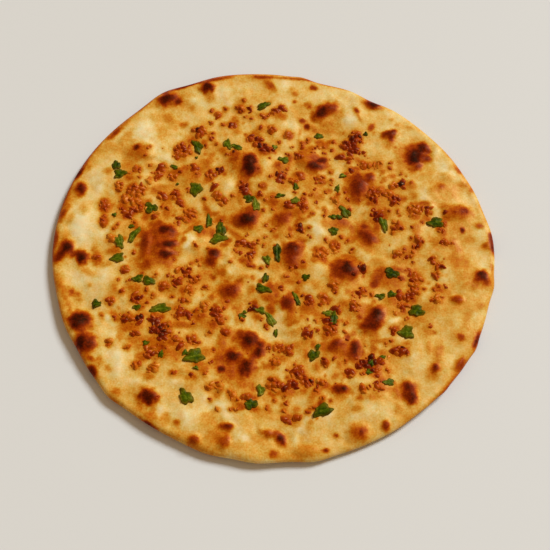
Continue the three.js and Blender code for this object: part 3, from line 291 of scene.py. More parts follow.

# ---- Pale patches of thin cream crust, some also a painted highlight where butter shines: x, y, length, width, turn ----

CREAMS_AND_SHINE = nearer([
    (-95, 41, 12, 4, 75), (-104, 18, 19, 7, 95), (-44, 9, 7, 5, 80), (-24, 42, 8, 7, 0),
    (25, 14, 6, 6, 0), (36, 50, 5, 4, 0), (48, 26, 10, 7, 60), (83.8, 32, 8, 3.5, -50),
    (97, 51, 12, 8, 80), (-70.5, 78, 11, 9, -40), (-44, -90, 9, 5, -55), (-13.5, -101.5, 7, 5, 0),
    (-42.5, 85.5, 8, 4, 0), (-45, 97, 10, 5, -20), (-89.5, -13.5, 7, 5, 60), (-101, -11, 7, 8, 0),
    (-86, -36, 12, 3, -55), (-82, -50, 14, 3.5, -70), (-82, -57, 6, 4, 0), (-79, -64, 9, 3, 85),
    (-71, -72, 8, 3, 0), (-51, -72, 8, 5, 0), (24.5, -8.5, 6.5, 6, 0), (22.7, -24.2, 4, 4, 0),
    (-6.6, -85.5, 3.6, 5.5, 0), (-25, -10, 6, 4, 0), (-35.5, -25.8, 8, 4, 0), (-21.5, -38, 7, 5, 60),
    (4, -35, 5, 6, 0), (36.5, -22.5, 5, 5, 0), (57, -52.5, 8, 3, 70), (63, -39, 5, 5, 0),
    (41.5, -91, 10, 4, 20), (11.7, 80, 12, 4, 85), (-25, 95.4, 4, 3.5, 0), (46, 84, 9, 4, 75),
    (78, -22, 8, 3, 100), (-113, 11, 6, 3, 80), (14, -98, 8, 4, 0), (9, 84, 6, 5, 0), (52, 29, 5, 4, 0),
    (-46, 46, 5, 4, 0), (-66, 42, 5, 5, 0), (-69, 44, 4, 4, 0), (46.5, 94, 12, 6, 80),
    (90, 62, 4, 12, -20), (-42, 5, 16, 6, -15), (50, -2, 10, 7, 0), (45, 5, 7, 6, 0), (62, -5, 8, 5, 0),
    (-89, -43, 10, 8, -55),
]) + [
    (-46.5, 81, 4, 4, 0), (8.5, 92, 3, 6, 0), (8, 67.5, 6, 9, 0), (-4, 55, 5, 6, 0), (-58, 58, 8, 6, -20),
    (35, 97, 8, 3, -10), (42, 84, 5, 7, 0), (13, 73.5, 4, 5, 0), (81.5, 49, 3.5, 3.5, 0),
    (-48.5, -4.7, 5, 4, 0), (-41, 28.5, 6, 5, 0), (-30.5, 27, 4, 6, 0), (-39.5, 20.3, 4, 4, 0),
    (-24.5, 20, 3, 7, 0), (28, -14, 12, 8, -35), (22, -22, 8, 5, 0), (91, -14.5, 6, 3, 0),
    (106, -31, 9, 8, 0), (-88, -8, 4, 4, 0), (-55, -27.5, 10, 4, -10), (-82.5, -29, 4, 4, 0),
    (-78.5, -26.5, 4, 4, 0), (-92, -35.5, 7, 4, -60), (-46, -74, 4, 4, 0), (-34.5, -82, 5, 5, 0),
    (-26.5, -85, 7, 7, 0), (-26, -76, 8, 4, 40), (-24.5, -91.5, 4, 4, 0), (-11.5, -60.3, 4, 3, 0),
    (10.5, -88.5, 5, 4, 0), (41.5, -74, 6, 8, 0), (35, -65.5, 4, 5, -50), (71, -59, 4, 3, 0),
    (88, -70, 12, 5, 50), (79, -82, 10, 4, 45), (-72.3, 43.5, 3, 5, 0), (-53, 73, 4, 4, 0),
    (-45, 58.5, 8, 3.5, 0), (-14.3, 79, 4, 4, 0), (1.8, 74, 3, 4, 0), (6.8, 70, 3, 3, 0),
    (58, 74, 5, 4, 0), (40.6, 61, 3, 3.5, 0), (-25.5, 35.5, 3.5, 5, 0), (-43.6, 21, 3, 3, 0),
    (-46, 4, 6, 5, 0), (-12, 5.5, 3, 5, 30), (16.2, 35.6, 3.5, 3.5, 0), (37, 7.3, 5, 3.5, 0),
    (32, -17, 3, 3, 0), (64.5, 2.3, 4, 3.5, 0), (-67.3, 60, 4, 4, 0), (-87.6, 37.5, 4, 4, 0),
    (-65.3, 33, 4, 3.5, 0), (-11.7, -60.4, 4, 4, 0), (-7.9, -69.6, 4, 4, 0), (14.6, -57, 4, 4, 0),
    (-6.5, -96.6, 4, 5, 0), (-6.3, -51.6, 3, 3, 0), (-106, -36, 3, 5, 0), (-84, -28.8, 3, 3.5, 0),
    (-78, -7.4, 3, 2.5, 0), (-74.8, -47.2, 3, 3, 0), (-45.9, -66.4, 5, 4, 0), (-66.2, -64, 4, 4, 0),
    (95.5, 47, 8, 5, 0), (83.2, 38.4, 4, 4, 0), (81.8, 6.6, 3, 4, 0), (86.4, 1.2, 3, 3, 0),
    (79.2, -3.4, 5, 5, 0), (76.4, 17, 4, 4, 0), (74.7, -57.2, 4.5, 4.5, 0), (68.8, -66.5, 4.5, 4.5, 0),
    (62, -69.3, 4.5, 4, 0), (42.4, -69.2, 5, 4, 0), (36, -73.5, 3, 8, 0), (40.2, -84, 4.5, 6, 0),
    (28.8, -90.2, 3, 3, 0), (-22.5, -1.8, 5, 5, 0), (-44.7, 3.2, 5, 4, 0), (-48, -30, 10, 3, -25),
    (-27, -5.7, 7, 3.5, 0), (29.3, -25, 3, 5, 0), (17.5, -20, 5, 5, 0), (-37, -33, 3, 5, 0),
    (-35, -26, 4, 3, 0), (-22.8, -46.5, 3, 4, 0), (48.2, -7, 3, 2.5, 0), (61.2, -47.4, 3, 3, 0),
    (68.3, -53.3, 5, 2.5, 0), (41, -69.5, 4, 3, 0), (45, -73.7, 4, 2.5, 0), (69.2, 14.8, 2.5, 3, 0),
    (75, 10.2, 5, 3, 0), (90.7, -9.3, 2.5, 4, 0), (82, -27.9, 2.5, 3, 0), (-51.7, 29.3, 2.5, 4, 0),
    (-31.6, 41.5, 2.5, 3, 0), (-26, 34, 3, 3, 0), (-99.5, -55, 3, 3, 0), (-93.5, -37, 3, 4, 0),
    (-103.5, -46, 4, 3, 0), (48.5, 64, 3, 3, 0), (38, 62.8, 3.5, 2, 0), (12, -95.2, 4, 3, 0),
    (-32.6, 42.4, 3, 3, 0), (-69.8, 44, 4, 4, 0), (-69.5, 37, 3, 3, 0), (-83.6, 32.3, 3, 3, 0),
    (-67.5, 66.5, 3, 3, 0), (-56, -79, 4, 4, 0), (-72.7, -65, 2.5, 3, 0), (-87, -36.5, 5, 3, 0),
    (-93, 16.8, 4, 2.5, 0), (25.2, -73.8, 3, 3, 0), (93, 47, 7, 4, 0), (97, 45, 5, 4, 0),
    (36, 57.5, 3, 3, 0), (40.5, 55.3, 3, 3, 0), (31.5, 62.8, 2.5, 3, 0), (5.8, 80, 3, 3, 0),
    (-98, -54.5, 5, 5, 0), (61.5, 46, 4, 5, 0), (85.5, 27, 4, 5, 0), (-57, -87, 6, 5, 0),
    (15, -90.5, 6, 4, 0), (11.5, -103, 3, 6, 0), (-40, -104, 6, 3, -25), (-28.5, -106, 5, 3, -15),
    (44, -103.5, 6, 3, 20), (47, 60.5, 6, 4, 0), (-38, 8, 6, 4, 0), (34, -18.5, 4, 3, 0),
    (-61, 20, 4, 3, 0),
]

# ---- Heaps of toasted garlic chips: x, y, reach ----

GARLIC_HEAPS = nearer([
    (-19, 91.2, 2.6), (4, 90.8, 2.9), (-30.9, 87.4, 2.1), (-23, 80.8, 2.3), (-1.3, 76.8, 2.4),
    (-13, 71.8, 2.7), (-8, 70.5, 2.4), (-4.5, 64.6, 3.4), (8.4, 74.2, 2.4), (14.3, 60.8, 2.5),
    (37.2, 60.4, 2.3), (45.6, 73.8, 3.1), (45.4, 70.2, 3.0), (44, 66.4, 3.6), (43.4, 62.6, 2.7),
    (39.5, 66.8, 2.4), (50.7, 54.5, 3.0), (57.6, 55.4, 2.8), (-41.4, 76, 3.8), (-51, 65.5, 3.8),
    (-51.7, 60.5, 3.4), (-61.5, 53, 3.0), (-75.2, 52.3, 2.3), (-55.5, 47.2, 2.4), (-43.7, 52.8, 2.5),
    (-29.3, 51, 2.4), (-34.8, 49, 2.8), (-84.8, 41, 2.9), (-75, 39, 5.2), (-78.8, 25, 3.8),
    (-72.5, 28, 2.8), (-53.2, 36.3, 2.6), (-60.5, 35, 2.6), (-45.3, 25.6, 3.5), (-47.5, 21, 2.5),
    (-91.6, 30, 3.2), (-92, 21, 2.4), (-87.2, 8.9, 2.4), (-94, -2.4, 2.5), (3.7, 46.3, 3.8),
    (15, 47.6, 2.5), (10.5, 44.6, 2.3), (-15.5, 39.6, 2.8), (-33, 40.8, 1.8), (-30.5, 35, 2.7),
    (-27, 31.6, 2.2), (25.6, 45.6, 3.2), (9, 29, 2.6), (16, 29, 3.2), (14.2, 14.6, 2.4), (33, 32.3, 2.5),
    (-17.6, 6.5, 3.0), (-12, -0.8, 2.7), (25.4, 0.6, 3.6), (32.8, 3.9, 3.5), (66.6, 16.4, 3.6),
    (56.3, 23.2, 3.8), (54.2, 36.5, 3.6), (66, 32.4, 3.2), (70.6, 42, 2.8), (65.5, 41.5, 2.0),
    (77.2, 26, 4.6), (77.6, 6.5, 3.1), (91.8, 6.7, 2.3), (66, -0.4, 2.2), (85, -2.8, 2.2), (88, -7, 2.5),
    (86, -12, 2.3), (74.8, -13.6, 3.6), (74.6, -18.2, 2.8), (74.2, -22.6, 3.2), (71.2, -25.2, 2.3),
    (67, -24, 3.0), (68, -30.3, 2.6), (85.3, -26.6, 3.0), (46.8, -8.8, 2.2), (46.5, -22.5, 2.7),
    (42.4, -30.4, 2.8), (33, -32.6, 2.3), (-50, -9.1, 2.3), (-45.6, -10, 2.6), (-44.6, -13.6, 2.3),
    (-41.8, -15.6, 2.3), (-57.8, -19.2, 2.6), (-44.6, -20.6, 2.7), (-46.8, -26.6, 2.3), (-79, -9.4, 2.1),
    (-72.2, -25.2, 3.4), (-85.2, -27.2, 2.4), (-76.2, -37.2, 3.2), (-70.4, -38, 2.8), (-62.2, -38, 3.0),
    (-60.3, -43.6, 4.0), (-49.8, -34.2, 3.2), (-45.2, -35.6, 2.4), (-71.5, -46, 2.0), (-84.6, -50.6, 2.2),
    (-63.3, -56, 4.0), (-70.5, -62.7, 2.3), (-61.7, -65, 2.6), (-50.4, -49.8, 2.4), (-42.3, -48.8, 2.6),
    (-29.8, -33.9, 3.3), (-28, -38.3, 2.8), (-24.5, -44.5, 2.6), (-10.7, -31.2, 2.7), (19.2, -27.2, 2.9),
    (25.9, -25.2, 2.2), (26.2, -28.8, 2.4), (31.8, -19.4, 2.7), (17.9, -45.8, 3.4), (29.8, -43.8, 3.9),
    (26.3, -61.6, 2.3), (38.9, -67.4, 2.7), (2.4, -53.6, 3.0), (8.1, -55.2, 3.2), (1.1, -61.2, 2.3),
    (12.8, -67.5, 4.4), (0.2, -73.4, 4.0), (5.4, -75.8, 2.4), (10, -74.3, 2.8), (17.4, -72.8, 3.1),
    (6.2, -92, 2.5), (12.1, -91.2, 2.0), (-27.5, -76.2, 2.2), (-21.4, -79.2, 2.4), (-13.6, -80.9, 2.7),
    (62.9, -44.2, 2.3), (63.3, -55.1, 2.6), (67.3, -55.4, 2.6), (44, -63, 2.5), (47.4, -63.2, 2.3),
    (52.2, -67.2, 2.9), (50.6, -59.3, 2.4), (45.8, -76.8, 2.2), (53.6, -75.6, 2.6), (-32.8, -75, 2.1),
    (-63.4, 48.4, 2.6), (54.8, 31.8, 2.4), (58, 37.5, 2.6), (83.5, 26.4, 2.6), (-57, -47.2, 3.4),
    (-47.5, -52.5, 2.5),
]) + [
    (-47.5, 64, 2.4), (41, 67.5, 2.6), (62.8, 35.8, 2.4), (65, 13.4, 2.4), (-50.5, 31.3, 2.4),
    (-12.3, 5.5, 2.3), (-50.3, -16.8, 2.8), (-92.4, 17.6, 2.2), (-55.2, -41.5, 2.4), (-54.6, -46, 2.4),
    (-36, -31, 2.8), (28, -39, 2.3), (-64.3, 23, 2.3), (-81.5, 33, 2.4), (-8.4, 66.6, 2.3),
    (0.9, 88.6, 2.2), (42, 57.6, 2.3), (-14.4, 37, 2.2), (-76.2, 31.6, 2.6), (-68.6, 44.3, 2.2),
    (24.3, -73.4, 2.3), (54, -61.7, 2.3),
]

# ---- Single chips with a crumb or two: x, y, reach, roast (0.5 amber, 1 near black) ----

SINGLE_CHIPS = nearer([
    (-13.4, 90.8, 1.9, 0.85), (-17.4, 90.2, 1.9, 0.68), (-5, 84.9, 1.5, 0.66), (-7, 86.9, 1.4, 0.64),
    (-2.7, 86.5, 1.4, 0.62), (-7, 78.5, 2.0, 0.60), (-15.7, 85.5, 1.5, 0.50), (-12.3, 84.3, 1.6, 0.64),
    (-28, 80.5, 1.7, 0.56), (-27, 91.2, 1.5, 0.60), (-16.6, 96.4, 1.7, 0.50), (-34.7, 90.3, 1.6, 0.54),
    (-34.7, 82, 1.6, 0.55), (-34, 75, 1.2, 0.66), (-34.7, 71.6, 1.9, 0.62), (-31.7, 68, 1.6, 0.66),
    (-37.7, 67.4, 1.4, 0.66), (-46, 62.7, 1.6, 0.66), (0, 64, 1.8, 0.82), (-26, 61.3, 1.3, 0.66),
    (-22, 62.5, 1.5, 0.92), (15.7, 69, 1.5, 0.55), (16, 65.6, 1.7, 0.64), (10.7, 66.3, 1.1, 0.66),
    (8.7, 61, 1.5, 0.68), (21.4, 62.7, 1.4, 0.60), (23.2, 65.6, 1.4, 0.66), (24.8, 67, 1.2, 0.60),
    (28, 66.4, 1.2, 0.58), (28.7, 62.3, 1.3, 0.58), (19.3, 71.5, 1.6, 0.42), (3, 69.5, 1.2, 0.52),
    (33.3, 70, 1.6, 0.68), (32.7, 65, 1.2, 0.62), (50, 62.4, 1.9, 0.62), (-69.3, 64.4, 1.5, 0.60),
    (-70.5, 60, 1.3, 0.58), (64.2, 52.6, 1.6, 0.62), (64.3, 56, 1.4, 0.62), (70, 48.7, 1.3, 0.60),
    (42.8, 51, 2.1, 0.88), (-68, 54, 1.6, 0.60), (-73.5, 46.7, 1.4, 0.58), (-51.5, 50.5, 1.4, 0.84),
    (-42, 49, 1.5, 0.62), (-8, 51.5, 1.4, 0.70), (7.5, 51.5, 1.4, 0.62), (-82.5, 27.5, 1.6, 0.76),
    (-60.5, 28.5, 1.4, 0.66), (-51.5, 21.5, 1.6, 0.66), (-57.7, 27.6, 1.7, 0.70), (-84, 17.5, 1.5, 0.60),
    (-86, 15, 1.4, 0.56), (-75, 19, 1.4, 0.58), (-41.3, 4.6, 1.8, 0.66), (-35, 3, 1.4, 0.60),
    (-51, 17.5, 1.4, 0.60), (-28, 21, 1.4, 0.62), (-22.5, 35, 1.5, 0.64), (-37.5, 33.5, 1.7, 0.60),
    (-7.5, 36.5, 2.1, 0.70), (-4.5, 33, 1.3, 0.60), (-5.5, 26.5, 1.5, 0.60), (-7.5, 41, 1.4, 0.58),
    (-2, 46.5, 1.5, 0.62), (-1, 34.5, 1.2, 0.60), (-0.5, 27, 1.4, 0.58), (-14.5, 11, 1.3, 0.60),
    (-8, 8, 1.4, 0.60), (-4.5, 10, 1.3, 0.58), (-5, 5.5, 1.3, 0.60), (-10.5, 3.5, 1.4, 0.60),
    (-4, 17.5, 1.4, 0.56), (31.5, 45, 1.2, 0.54), (31.5, 42, 1.2, 0.54), (31.5, 50, 1.3, 0.60),
    (28.5, 37, 1.4, 0.62), (17.3, 36, 1.4, 0.62), (27.5, 26.5, 1.6, 0.54), (27.5, 22.3, 1.4, 0.80),
    (21.5, 23.8, 1.3, 0.60), (12.3, 36.8, 1.2, 0.60), (19.3, 15.2, 1.4, 0.62), (20, 9.8, 1.6, 0.62),
    (28, 8.7, 1.6, 0.64), (36.5, 10.2, 1.6, 0.66), (40, 8.3, 1.6, 0.70), (42.3, 3, 1.6, 0.66),
    (9, 11, 1.4, 0.58), (41, 32.4, 1.4, 0.64), (-12.7, -7, 2.0, 0.74), (-6.4, -8.5, 1.6, 0.66),
    (58.5, 39.5, 1.4, 0.64), (75.5, 43.2, 1.4, 0.64), (93, 24.6, 2.1, 0.82), (92, 17, 1.3, 0.60),
    (74, 9, 1.3, 0.62), (74.5, 15.5, 1.3, 0.60), (80.5, 18.5, 1.3, 0.60), (95.7, 6.5, 1.3, 0.56),
    (70, 2.5, 1.3, 0.62), (71, -1.8, 1.7, 0.74), (74.5, 1, 1.2, 0.56), (67.5, 25.5, 1.3, 0.60),
    (63, 25.5, 1.3, 0.60), (87.3, -19.2, 1.6, 0.64), (91.1, -19.6, 1.3, 0.68), (84.5, -20.8, 1.2, 0.56),
    (51.7, -23.4, 1.5, 0.68), (-55.8, -13.2, 1.5, 0.76), (-52.8, -13.6, 1.1, 0.66),
    (-52, -18.5, 1.8, 0.72), (-39.6, -13.6, 1.9, 0.64), (-76, -15.6, 1.4, 0.66),
    (-80.2, -21.6, 2.0, 0.70), (-66.3, -28.2, 1.7, 0.70), (-63.3, -23.8, 1.5, 0.56),
    (-67, -20.5, 1.2, 0.56), (-62, -12.6, 1.2, 0.60), (-69.3, -11.8, 0.9, 0.70),
    (-54.3, -41.8, 1.5, 0.98), (-75, -53.4, 1.9, 0.60), (-48, -53.6, 1.7, 0.70),
    (-51.3, -68.2, 1.6, 0.68), (-42, -68.8, 1.5, 0.70), (-32.8, -45.1, 1.8, 0.64),
    (-35.9, -18.9, 1.9, 0.64), (13.5, -17, 1.9, 0.66), (6, -13.4, 1.6, 0.64), (4, -19.6, 2.0, 0.76),
    (23, -44.6, 1.6, 0.66), (38, -49.4, 1.5, 0.80), (-2.3, -53.6, 1.9, 0.76), (22.6, -74.9, 1.7, 0.70),
    (25.4, -81.4, 1.5, 0.60), (6.4, -84.5, 1.6, 0.64), (17, -88.7, 1.3, 0.60), (-35, -68.5, 1.7, 0.66),
    (-31.8, -61.8, 1.5, 0.70), (56, -62.3, 1.8, 0.72), (81.8, -42, 1.7, 0.66), (-23, -4.8, 1.7, 0.58),
    (-17.4, 0.6, 1.8, 0.66), (-43.7, -5.5, 1.0, 0.60), (-40.3, -4.2, 1.5, 0.62), (-53, -24.8, 1.3, 0.66),
    (-41.7, -40.5, 1.2, 0.76), (-38.7, -51, 1.5, 0.68), (-90.2, -34.6, 1.0, 0.55),
    (-83.3, -35.8, 1.5, 0.62), (-25.6, -31.5, 1.9, 0.60), (-16, -37.8, 1.3, 0.68), (-4, -41, 1.6, 0.62),
    (-6.3, -37.8, 1.1, 0.64), (-3.3, -7.3, 1.4, 0.72), (-55.3, -54.5, 1.1, 0.70), (-30.7, -55, 0.9, 0.74),
    (-49.5, -37.8, 1.1, 0.64), (-40.7, -33, 1.6, 0.62), (15.2, -24.5, 1.5, 0.82),
    (32.6, -23.1, 1.5, 0.66), (44, -33.7, 1.3, 0.70), (41.7, -24.6, 1.3, 0.62), (33.3, -39, 1.2, 0.60),
    (18, -38.5, 0.8, 0.70), (21.8, -38.7, 1.4, 0.58), (37.6, -40.6, 1.6, 0.60), (36.7, -45, 1.5, 0.60),
    (9, -8.4, 1.5, 0.76), (12.3, -7.7, 1.6, 0.76), (16, -5.1, 1.6, 0.72), (46.4, -5.6, 1.1, 0.66),
    (42.6, -12.8, 1.6, 0.92), (66.7, -13.8, 1.5, 0.78), (70.7, -9.1, 1.3, 0.60), (78.8, -15, 1.5, 0.66),
    (70, -37.1, 1.5, 0.60), (64, -34.6, 1.6, 0.52), (61, -49.8, 1.5, 0.66), (58.3, -51.1, 1.3, 0.58),
    (31, -60.1, 1.3, 0.74), (37.3, -61, 1.5, 0.60), (49.2, -75.5, 1.1, 0.68), (58.4, -65.6, 1.7, 0.66),
    (6, -80.1, 1.4, 0.64), (5.4, -88, 1.6, 0.56), (-3.3, -86.8, 1.6, 0.56), (0.8, -82.5, 1.5, 0.54),
    (-28.7, -73.1, 1.5, 0.68), (-31.8, -82.4, 1.3, 0.48), (-59.4, -81.7, 1.4, 0.70),
    (-21.7, -87.5, 1.2, 0.56), (-18, -87.5, 1.2, 0.64), (-18, -82.2, 1.5, 0.58), (-28.7, -87, 1.4, 0.48),
    (89.6, 14.4, 1.5, 0.62), (92, 18, 1.6, 0.66), (-20.5, 2.5, 1.6, 0.60), (22.5, 38.5, 1.5, 0.58),
    (21, 35.5, 1.4, 0.56), (23, 31, 1.3, 0.58), (74.5, -5, 1.2, 0.55), (75, 4, 1.5, 0.60),
    (79.5, -20.3, 1.3, 0.60), (-82, -15.5, 1.3, 0.52),
]) + [
    (48.2, 69, 1.7, 0.72), (-46.3, 38, 1.5, 0.64), (-17.3, 42.8, 1.7, 0.62), (41.4, 26.3, 1.7, 0.66),
    (16.8, 32.3, 1.4, 0.60), (73.5, -1.8, 1.6, 0.64), (-74.4, -0.4, 1.5, 0.60), (21.5, -77.5, 1.5, 0.62),
    (46.2, -68.5, 1.5, 0.66), (-0.5, 13.5, 1.6, 0.70), (20.7, -86.8, 1.6, 0.62), (91.4, 13, 1.6, 0.64),
]

# ---- Where the roast of the heaps is darker or lighter: x, y, reach, shift ----

ROASTS = nearer([
    (13.5, 15, 3, 0.20), (56.3, 23.2, 4, 0.14), (-29.5, 50.5, 2.5, 0.26), (-29, 33, 6, -0.10),
    (-79, 24.5, 3.5, 0.15), (78.4, 6, 3, 0.14), (67, 31.7, 3, 0.14), (70.5, 42.5, 3, 0.12),
    (-12.8, -2, 3, 0.16), (-45.5, -10.3, 3, 0.14), (-61, -43, 5, 0.20), (47.1, -9.5, 3, 0.14),
    (46.4, -22.6, 2.5, 0.16), (-10.7, -31, 3, 0.20), (-42.3, -48.8, 2.5, 0.14), (18.5, -46.5, 3, 0.14),
    (10, -74.5, 3, 0.18), (5.3, -75.8, 2.5, 0.22), (18, -72.5, 3.5, 0.10), (1.3, -73.5, 3.5, 0.08),
    (44.2, -63, 3, 0.20), (50.5, -60.5, 3.5, 0.24), (-13.7, -81, 2.5, 0.14), (88, -7.5, 2.5, 0.12),
    (85.5, -12.6, 2.5, 0.10), (67, -24.5, 3, 0.12), (71.3, -25.3, 2.5, 0.12), (68, -30.5, 2.5, 0.04),
    (-72.3, -25.2, 3.5, 0.16), (-76.5, -37, 3, 0.12), (-70.5, -38, 3, 0.12), (-63.5, -57, 3, 0.14),
    (45.5, 70.5, 4, 0.14), (44, 65.5, 4, 0.08), (4.3, 91, 2.5, 0.12), (-23, 80.8, 2.5, 0.22),
    (-31.7, 87, 2.3, 0.04), (-8.5, 70, 3, 0.14), (-5.3, 65, 4, 0.18), (-41.4, 76, 2.4, 0.12),
    (65.5, -55.2, 4, 0.08), (52.2, -67.5, 3, 0.10), (19.2, -27.2, 3, 0.12), (26.3, -26.8, 3.5, -0.10),
    (29.8, -39.5, 3, 0.14), (-20.5, 91.5, 2, -0.04), (-85.5, 40, 3, -0.12), (-76, 33.5, 5, -0.28),
    (26.3, 44.3, 3, -0.12), (65.2, 42.2, 2.5, -0.25), (78, 26.5, 5, -0.14), (-46, 25, 4, -0.12),
    (85.3, -27, 4, -0.28), (31.7, -18.8, 3.5, -0.16), (74.8, -15.5, 5, -0.14), (-46.8, -26.6, 3, -0.12),
    (-21.4, -79.2, 3, -0.12), (-27.7, -77.2, 3, -0.26), (-85.3, -50.8, 2.5, -0.10), (7, -92.7, 3, -0.04),
    (-61.9, -65, 4, -0.22), (-52, 60, 3, -0.06), (8.8, 73.3, 3, -0.06), (-33, -75.5, 2.4, -0.20),
    (9, -55.5, 3, -0.04), (58.3, 55, 3.5, -0.10), (50.7, 54.5, 3.2, -0.08), (-15, 39.5, 3, 0.20),
    (33.2, 4.2, 4, 0.04), (-57, -47.2, 3.5, 0.20),
]) + [
    (3.7, 46, 4, 0.20), (33, 32.3, 3, -0.12), (84.5, -3.5, 3, 0.14), (-87.6, 8, 3, -0.10),
    (-85.5, 39, 3, -0.12), (54.4, -75, 3, 0.10), (-68.6, 44.3, 3, -0.25), (-36, -31, 3, -0.20),
    (24.3, -73.4, 3, -0.25), (-8.4, 66.6, 3, -0.20), (3.8, 47.4, 2.5, 0.20), (-60.5, 36, 3, -0.12),
    (-24.5, -45, 3, -0.15), (6.4, -92.5, 3, 0.12),
]

# ---- Herb leaves, and then their scraps: x, y, length, width, turn, tone (0 dark, 1 bright) ----

HERB_LEAVES = nearer([
    (-5.7, 92.9, 9, 4.6, 33, 0.4), (-25.4, 67.7, 7.5, 4.6, 115, 0.8), (-20.2, 65.6, 7.6, 3.6, -30, 0.5),
    (-42.2, 66.6, 9.6, 5.6, 112, 0.3), (-86.6, 54.2, 6, 5.5, 90, 0.2), (-84.4, 49, 7.5, 6, 20, 0.4),
    (25.4, 74, 5.5, 4, 10, 0.4), (5.8, 57.8, 7, 4.2, -20, 0.6), (-42.4, 39.6, 9, 7.6, 80, 0.5),
    (-13.2, 33.6, 6, 5, 0, 0.2), (-9.4, 29.7, 8.5, 4.6, 100, 0.9), (3.6, 35.3, 6, 2.6, 10, 0.5),
    (12, 31.8, 5.8, 4.8, 0, 0.8), (38.8, 25.3, 9, 5, -55, 0.5), (32.5, 13.7, 5.5, 5, 0, 0.4),
    (-34.8, 20.2, 8.5, 3.8, 92, 0.4), (-28.3, 15.5, 9.5, 6, 100, 0.3), (-29.4, 9.4, 11, 6, 20, 0.6),
    (2.2, 0.5, 12.2, 4.4, 92, 0.0), (-3.4, -3.6, 6.5, 4.2, 110, 0.9), (-4.1, -14.5, 6, 3.9, 80, 0.2),
    (-5.4, -20.8, 9.5, 5, -20, 0.4), (12.2, -25.8, 10, 2.2, -62, 0.6), (-6.6, -32.6, 6.2, 3.8, -25, 0.8),
    (-1.4, -37.6, 9.5, 4.5, -60, 1.0), (28.5, -34.6, 5.5, 4, 0, 0.9), (31.5, -37.8, 9.5, 4.5, 82, 0.2),
    (-66.6, 28, 8, 7, 0, 0.3), (-74.8, 11.2, 12, 4.2, 58, 0.6), (-82.4, 7.2, 9.5, 5.5, 102, 0.7),
    (-83, -2.4, 8, 6.2, 15, 0.5), (-71.6, -14.9, 6.4, 4.6, 20, 0.45), (-65.8, -16.2, 7.6, 5.2, -15, 0.5),
    (-93, -28.6, 5.6, 5.2, 0, 0.4), (-59.2, -31.4, 12, 5.6, 4, 0.6), (-40.6, -58.6, 11.5, 9, 15, 0.5),
    (-44.4, -80.6, 10, 7, -50, 0.6), (-6.4, -76.9, 7, 4.5, 100, 0.8), (-11.3, -84.4, 7.5, 6.5, 0, 0.15),
    (20.8, -57.8, 7, 5.8, 30, 0.3), (25, -88, 11, 7.4, 20, 0.3), (87.5, 18.5, 9.5, 7, 10, 0.3),
    (59.5, 18, 11, 4.5, 108, 0.6), (62.8, -11.3, 9, 6, -25, 0.0), (62.3, -23.4, 5.2, 4, 0, 0.35),
    (75, -33, 8.8, 7.4, -10, 0.35), (69.2, -45, 8.8, 8, 0, 0.6), (59, -72.7, 6.6, 4, 10, 0.5),
])
HERB_SCRAPS = nearer([
    (0.8, 66, 3.5, 3.5, 0, 0.9), (12.3, 40.6, 4.8, 3.2, 90, 0.4), (38, 47.5, 4.2, 3.2, 0, 0.8),
    (35, 39.6, 5, 3, 85, 0.5), (32.2, 22, 4.6, 3.2, 0, 0.4), (-40.2, 15, 6, 5, 0, 0.4),
    (17.2, -14.2, 4.8, 4, 0, 0.3), (-16.3, -35.8, 4.2, 3.8, 0, 0.5), (-15, -33.4, 2.5, 2, 0, 0.4),
    (1.3, -45, 5, 2.6, 92, 0.5), (-86, 23.6, 2.8, 2.6, 0, 0.5), (-71.5, -31, 5, 3.4, 0, 0.4),
    (-66, -51, 4, 3, 0, 0.4), (-57.8, -57.6, 4.6, 3.2, 80, 0.4), (-39.5, -65.3, 3.4, 2.2, -20, 0.8),
    (23, -53.6, 4.2, 2.6, 70, 0.5), (56.4, -24.6, 6, 3.4, -5, 0.4), (56.4, -58.6, 3.6, 2.5, 0, 0.4),
    (50.2, -62.3, 4.6, 3.8, 60, 0.05), (49, -67, 3.6, 4, 0, 0.45), (51.5, 74.4, 2.8, 2.4, 0, 0.0),
    (-54.6, 53.5, 5.2, 2.4, -30, 0.5), (-42.5, 59.6, 1.8, 1.6, 0, 0.4), (-52.5, 43, 1.8, 1.6, 0, 0.4),
    (25.2, -0.4, 3.2, 2.2, 20, 0.1), (-76.5, 16.5, 3.5, 2.5, 20, 0.4), (12.6, -28, 5, 2.6, -60, 0.1),
]) + [
    (35.6, 21.6, 4.5, 3, -20, 0.2), (-45.2, -57.3, 3.6, 3.6, 60, 0.3),
]

# ---- Relief of the top, in millimetres. Noise is given as rows of amount, size and pattern, or
# ---- as a pair of size and pattern: each pattern number is a noise of its own ----

FINE_GRAIN = [(0.20, 7.5, 1), (0.15, 3.6, 2), (0.05, 1.7, 3)]
SCORCH_RISE = 0.12               # a scorch's height is this times the root of its width
SCORCH_SPREAD = 1.3              # and the reach of its dome is this times half its size
CREAM_RISE = 0.16                # the same two for a pale patch
CREAM_SPREAD = 1.1
MOAT = (0.22, 1.75, 0.5)         # the dip round a blister: how deep, how far out, how wide
BLISTER_ROUGH = (0.12, 1.1)      # the roughness of a blister's top: how high, how far out
BLISTER_GRAIN = (1.4, 4)
HEAP_GROUND = 0.30               # how high the melted crumbs under a heap stand
HEAP_ROUGH = 0.22                # and how rough they are
HEAP_GRAIN = (1.9, 20)

# ---- Chips ----

SEEDS = {"heaps": 29, "singles": 37, "crumbs": 31, "loose": 11, "dots": 41, "underside": 23,
         "chip_forms": 5, "leaves": 900}

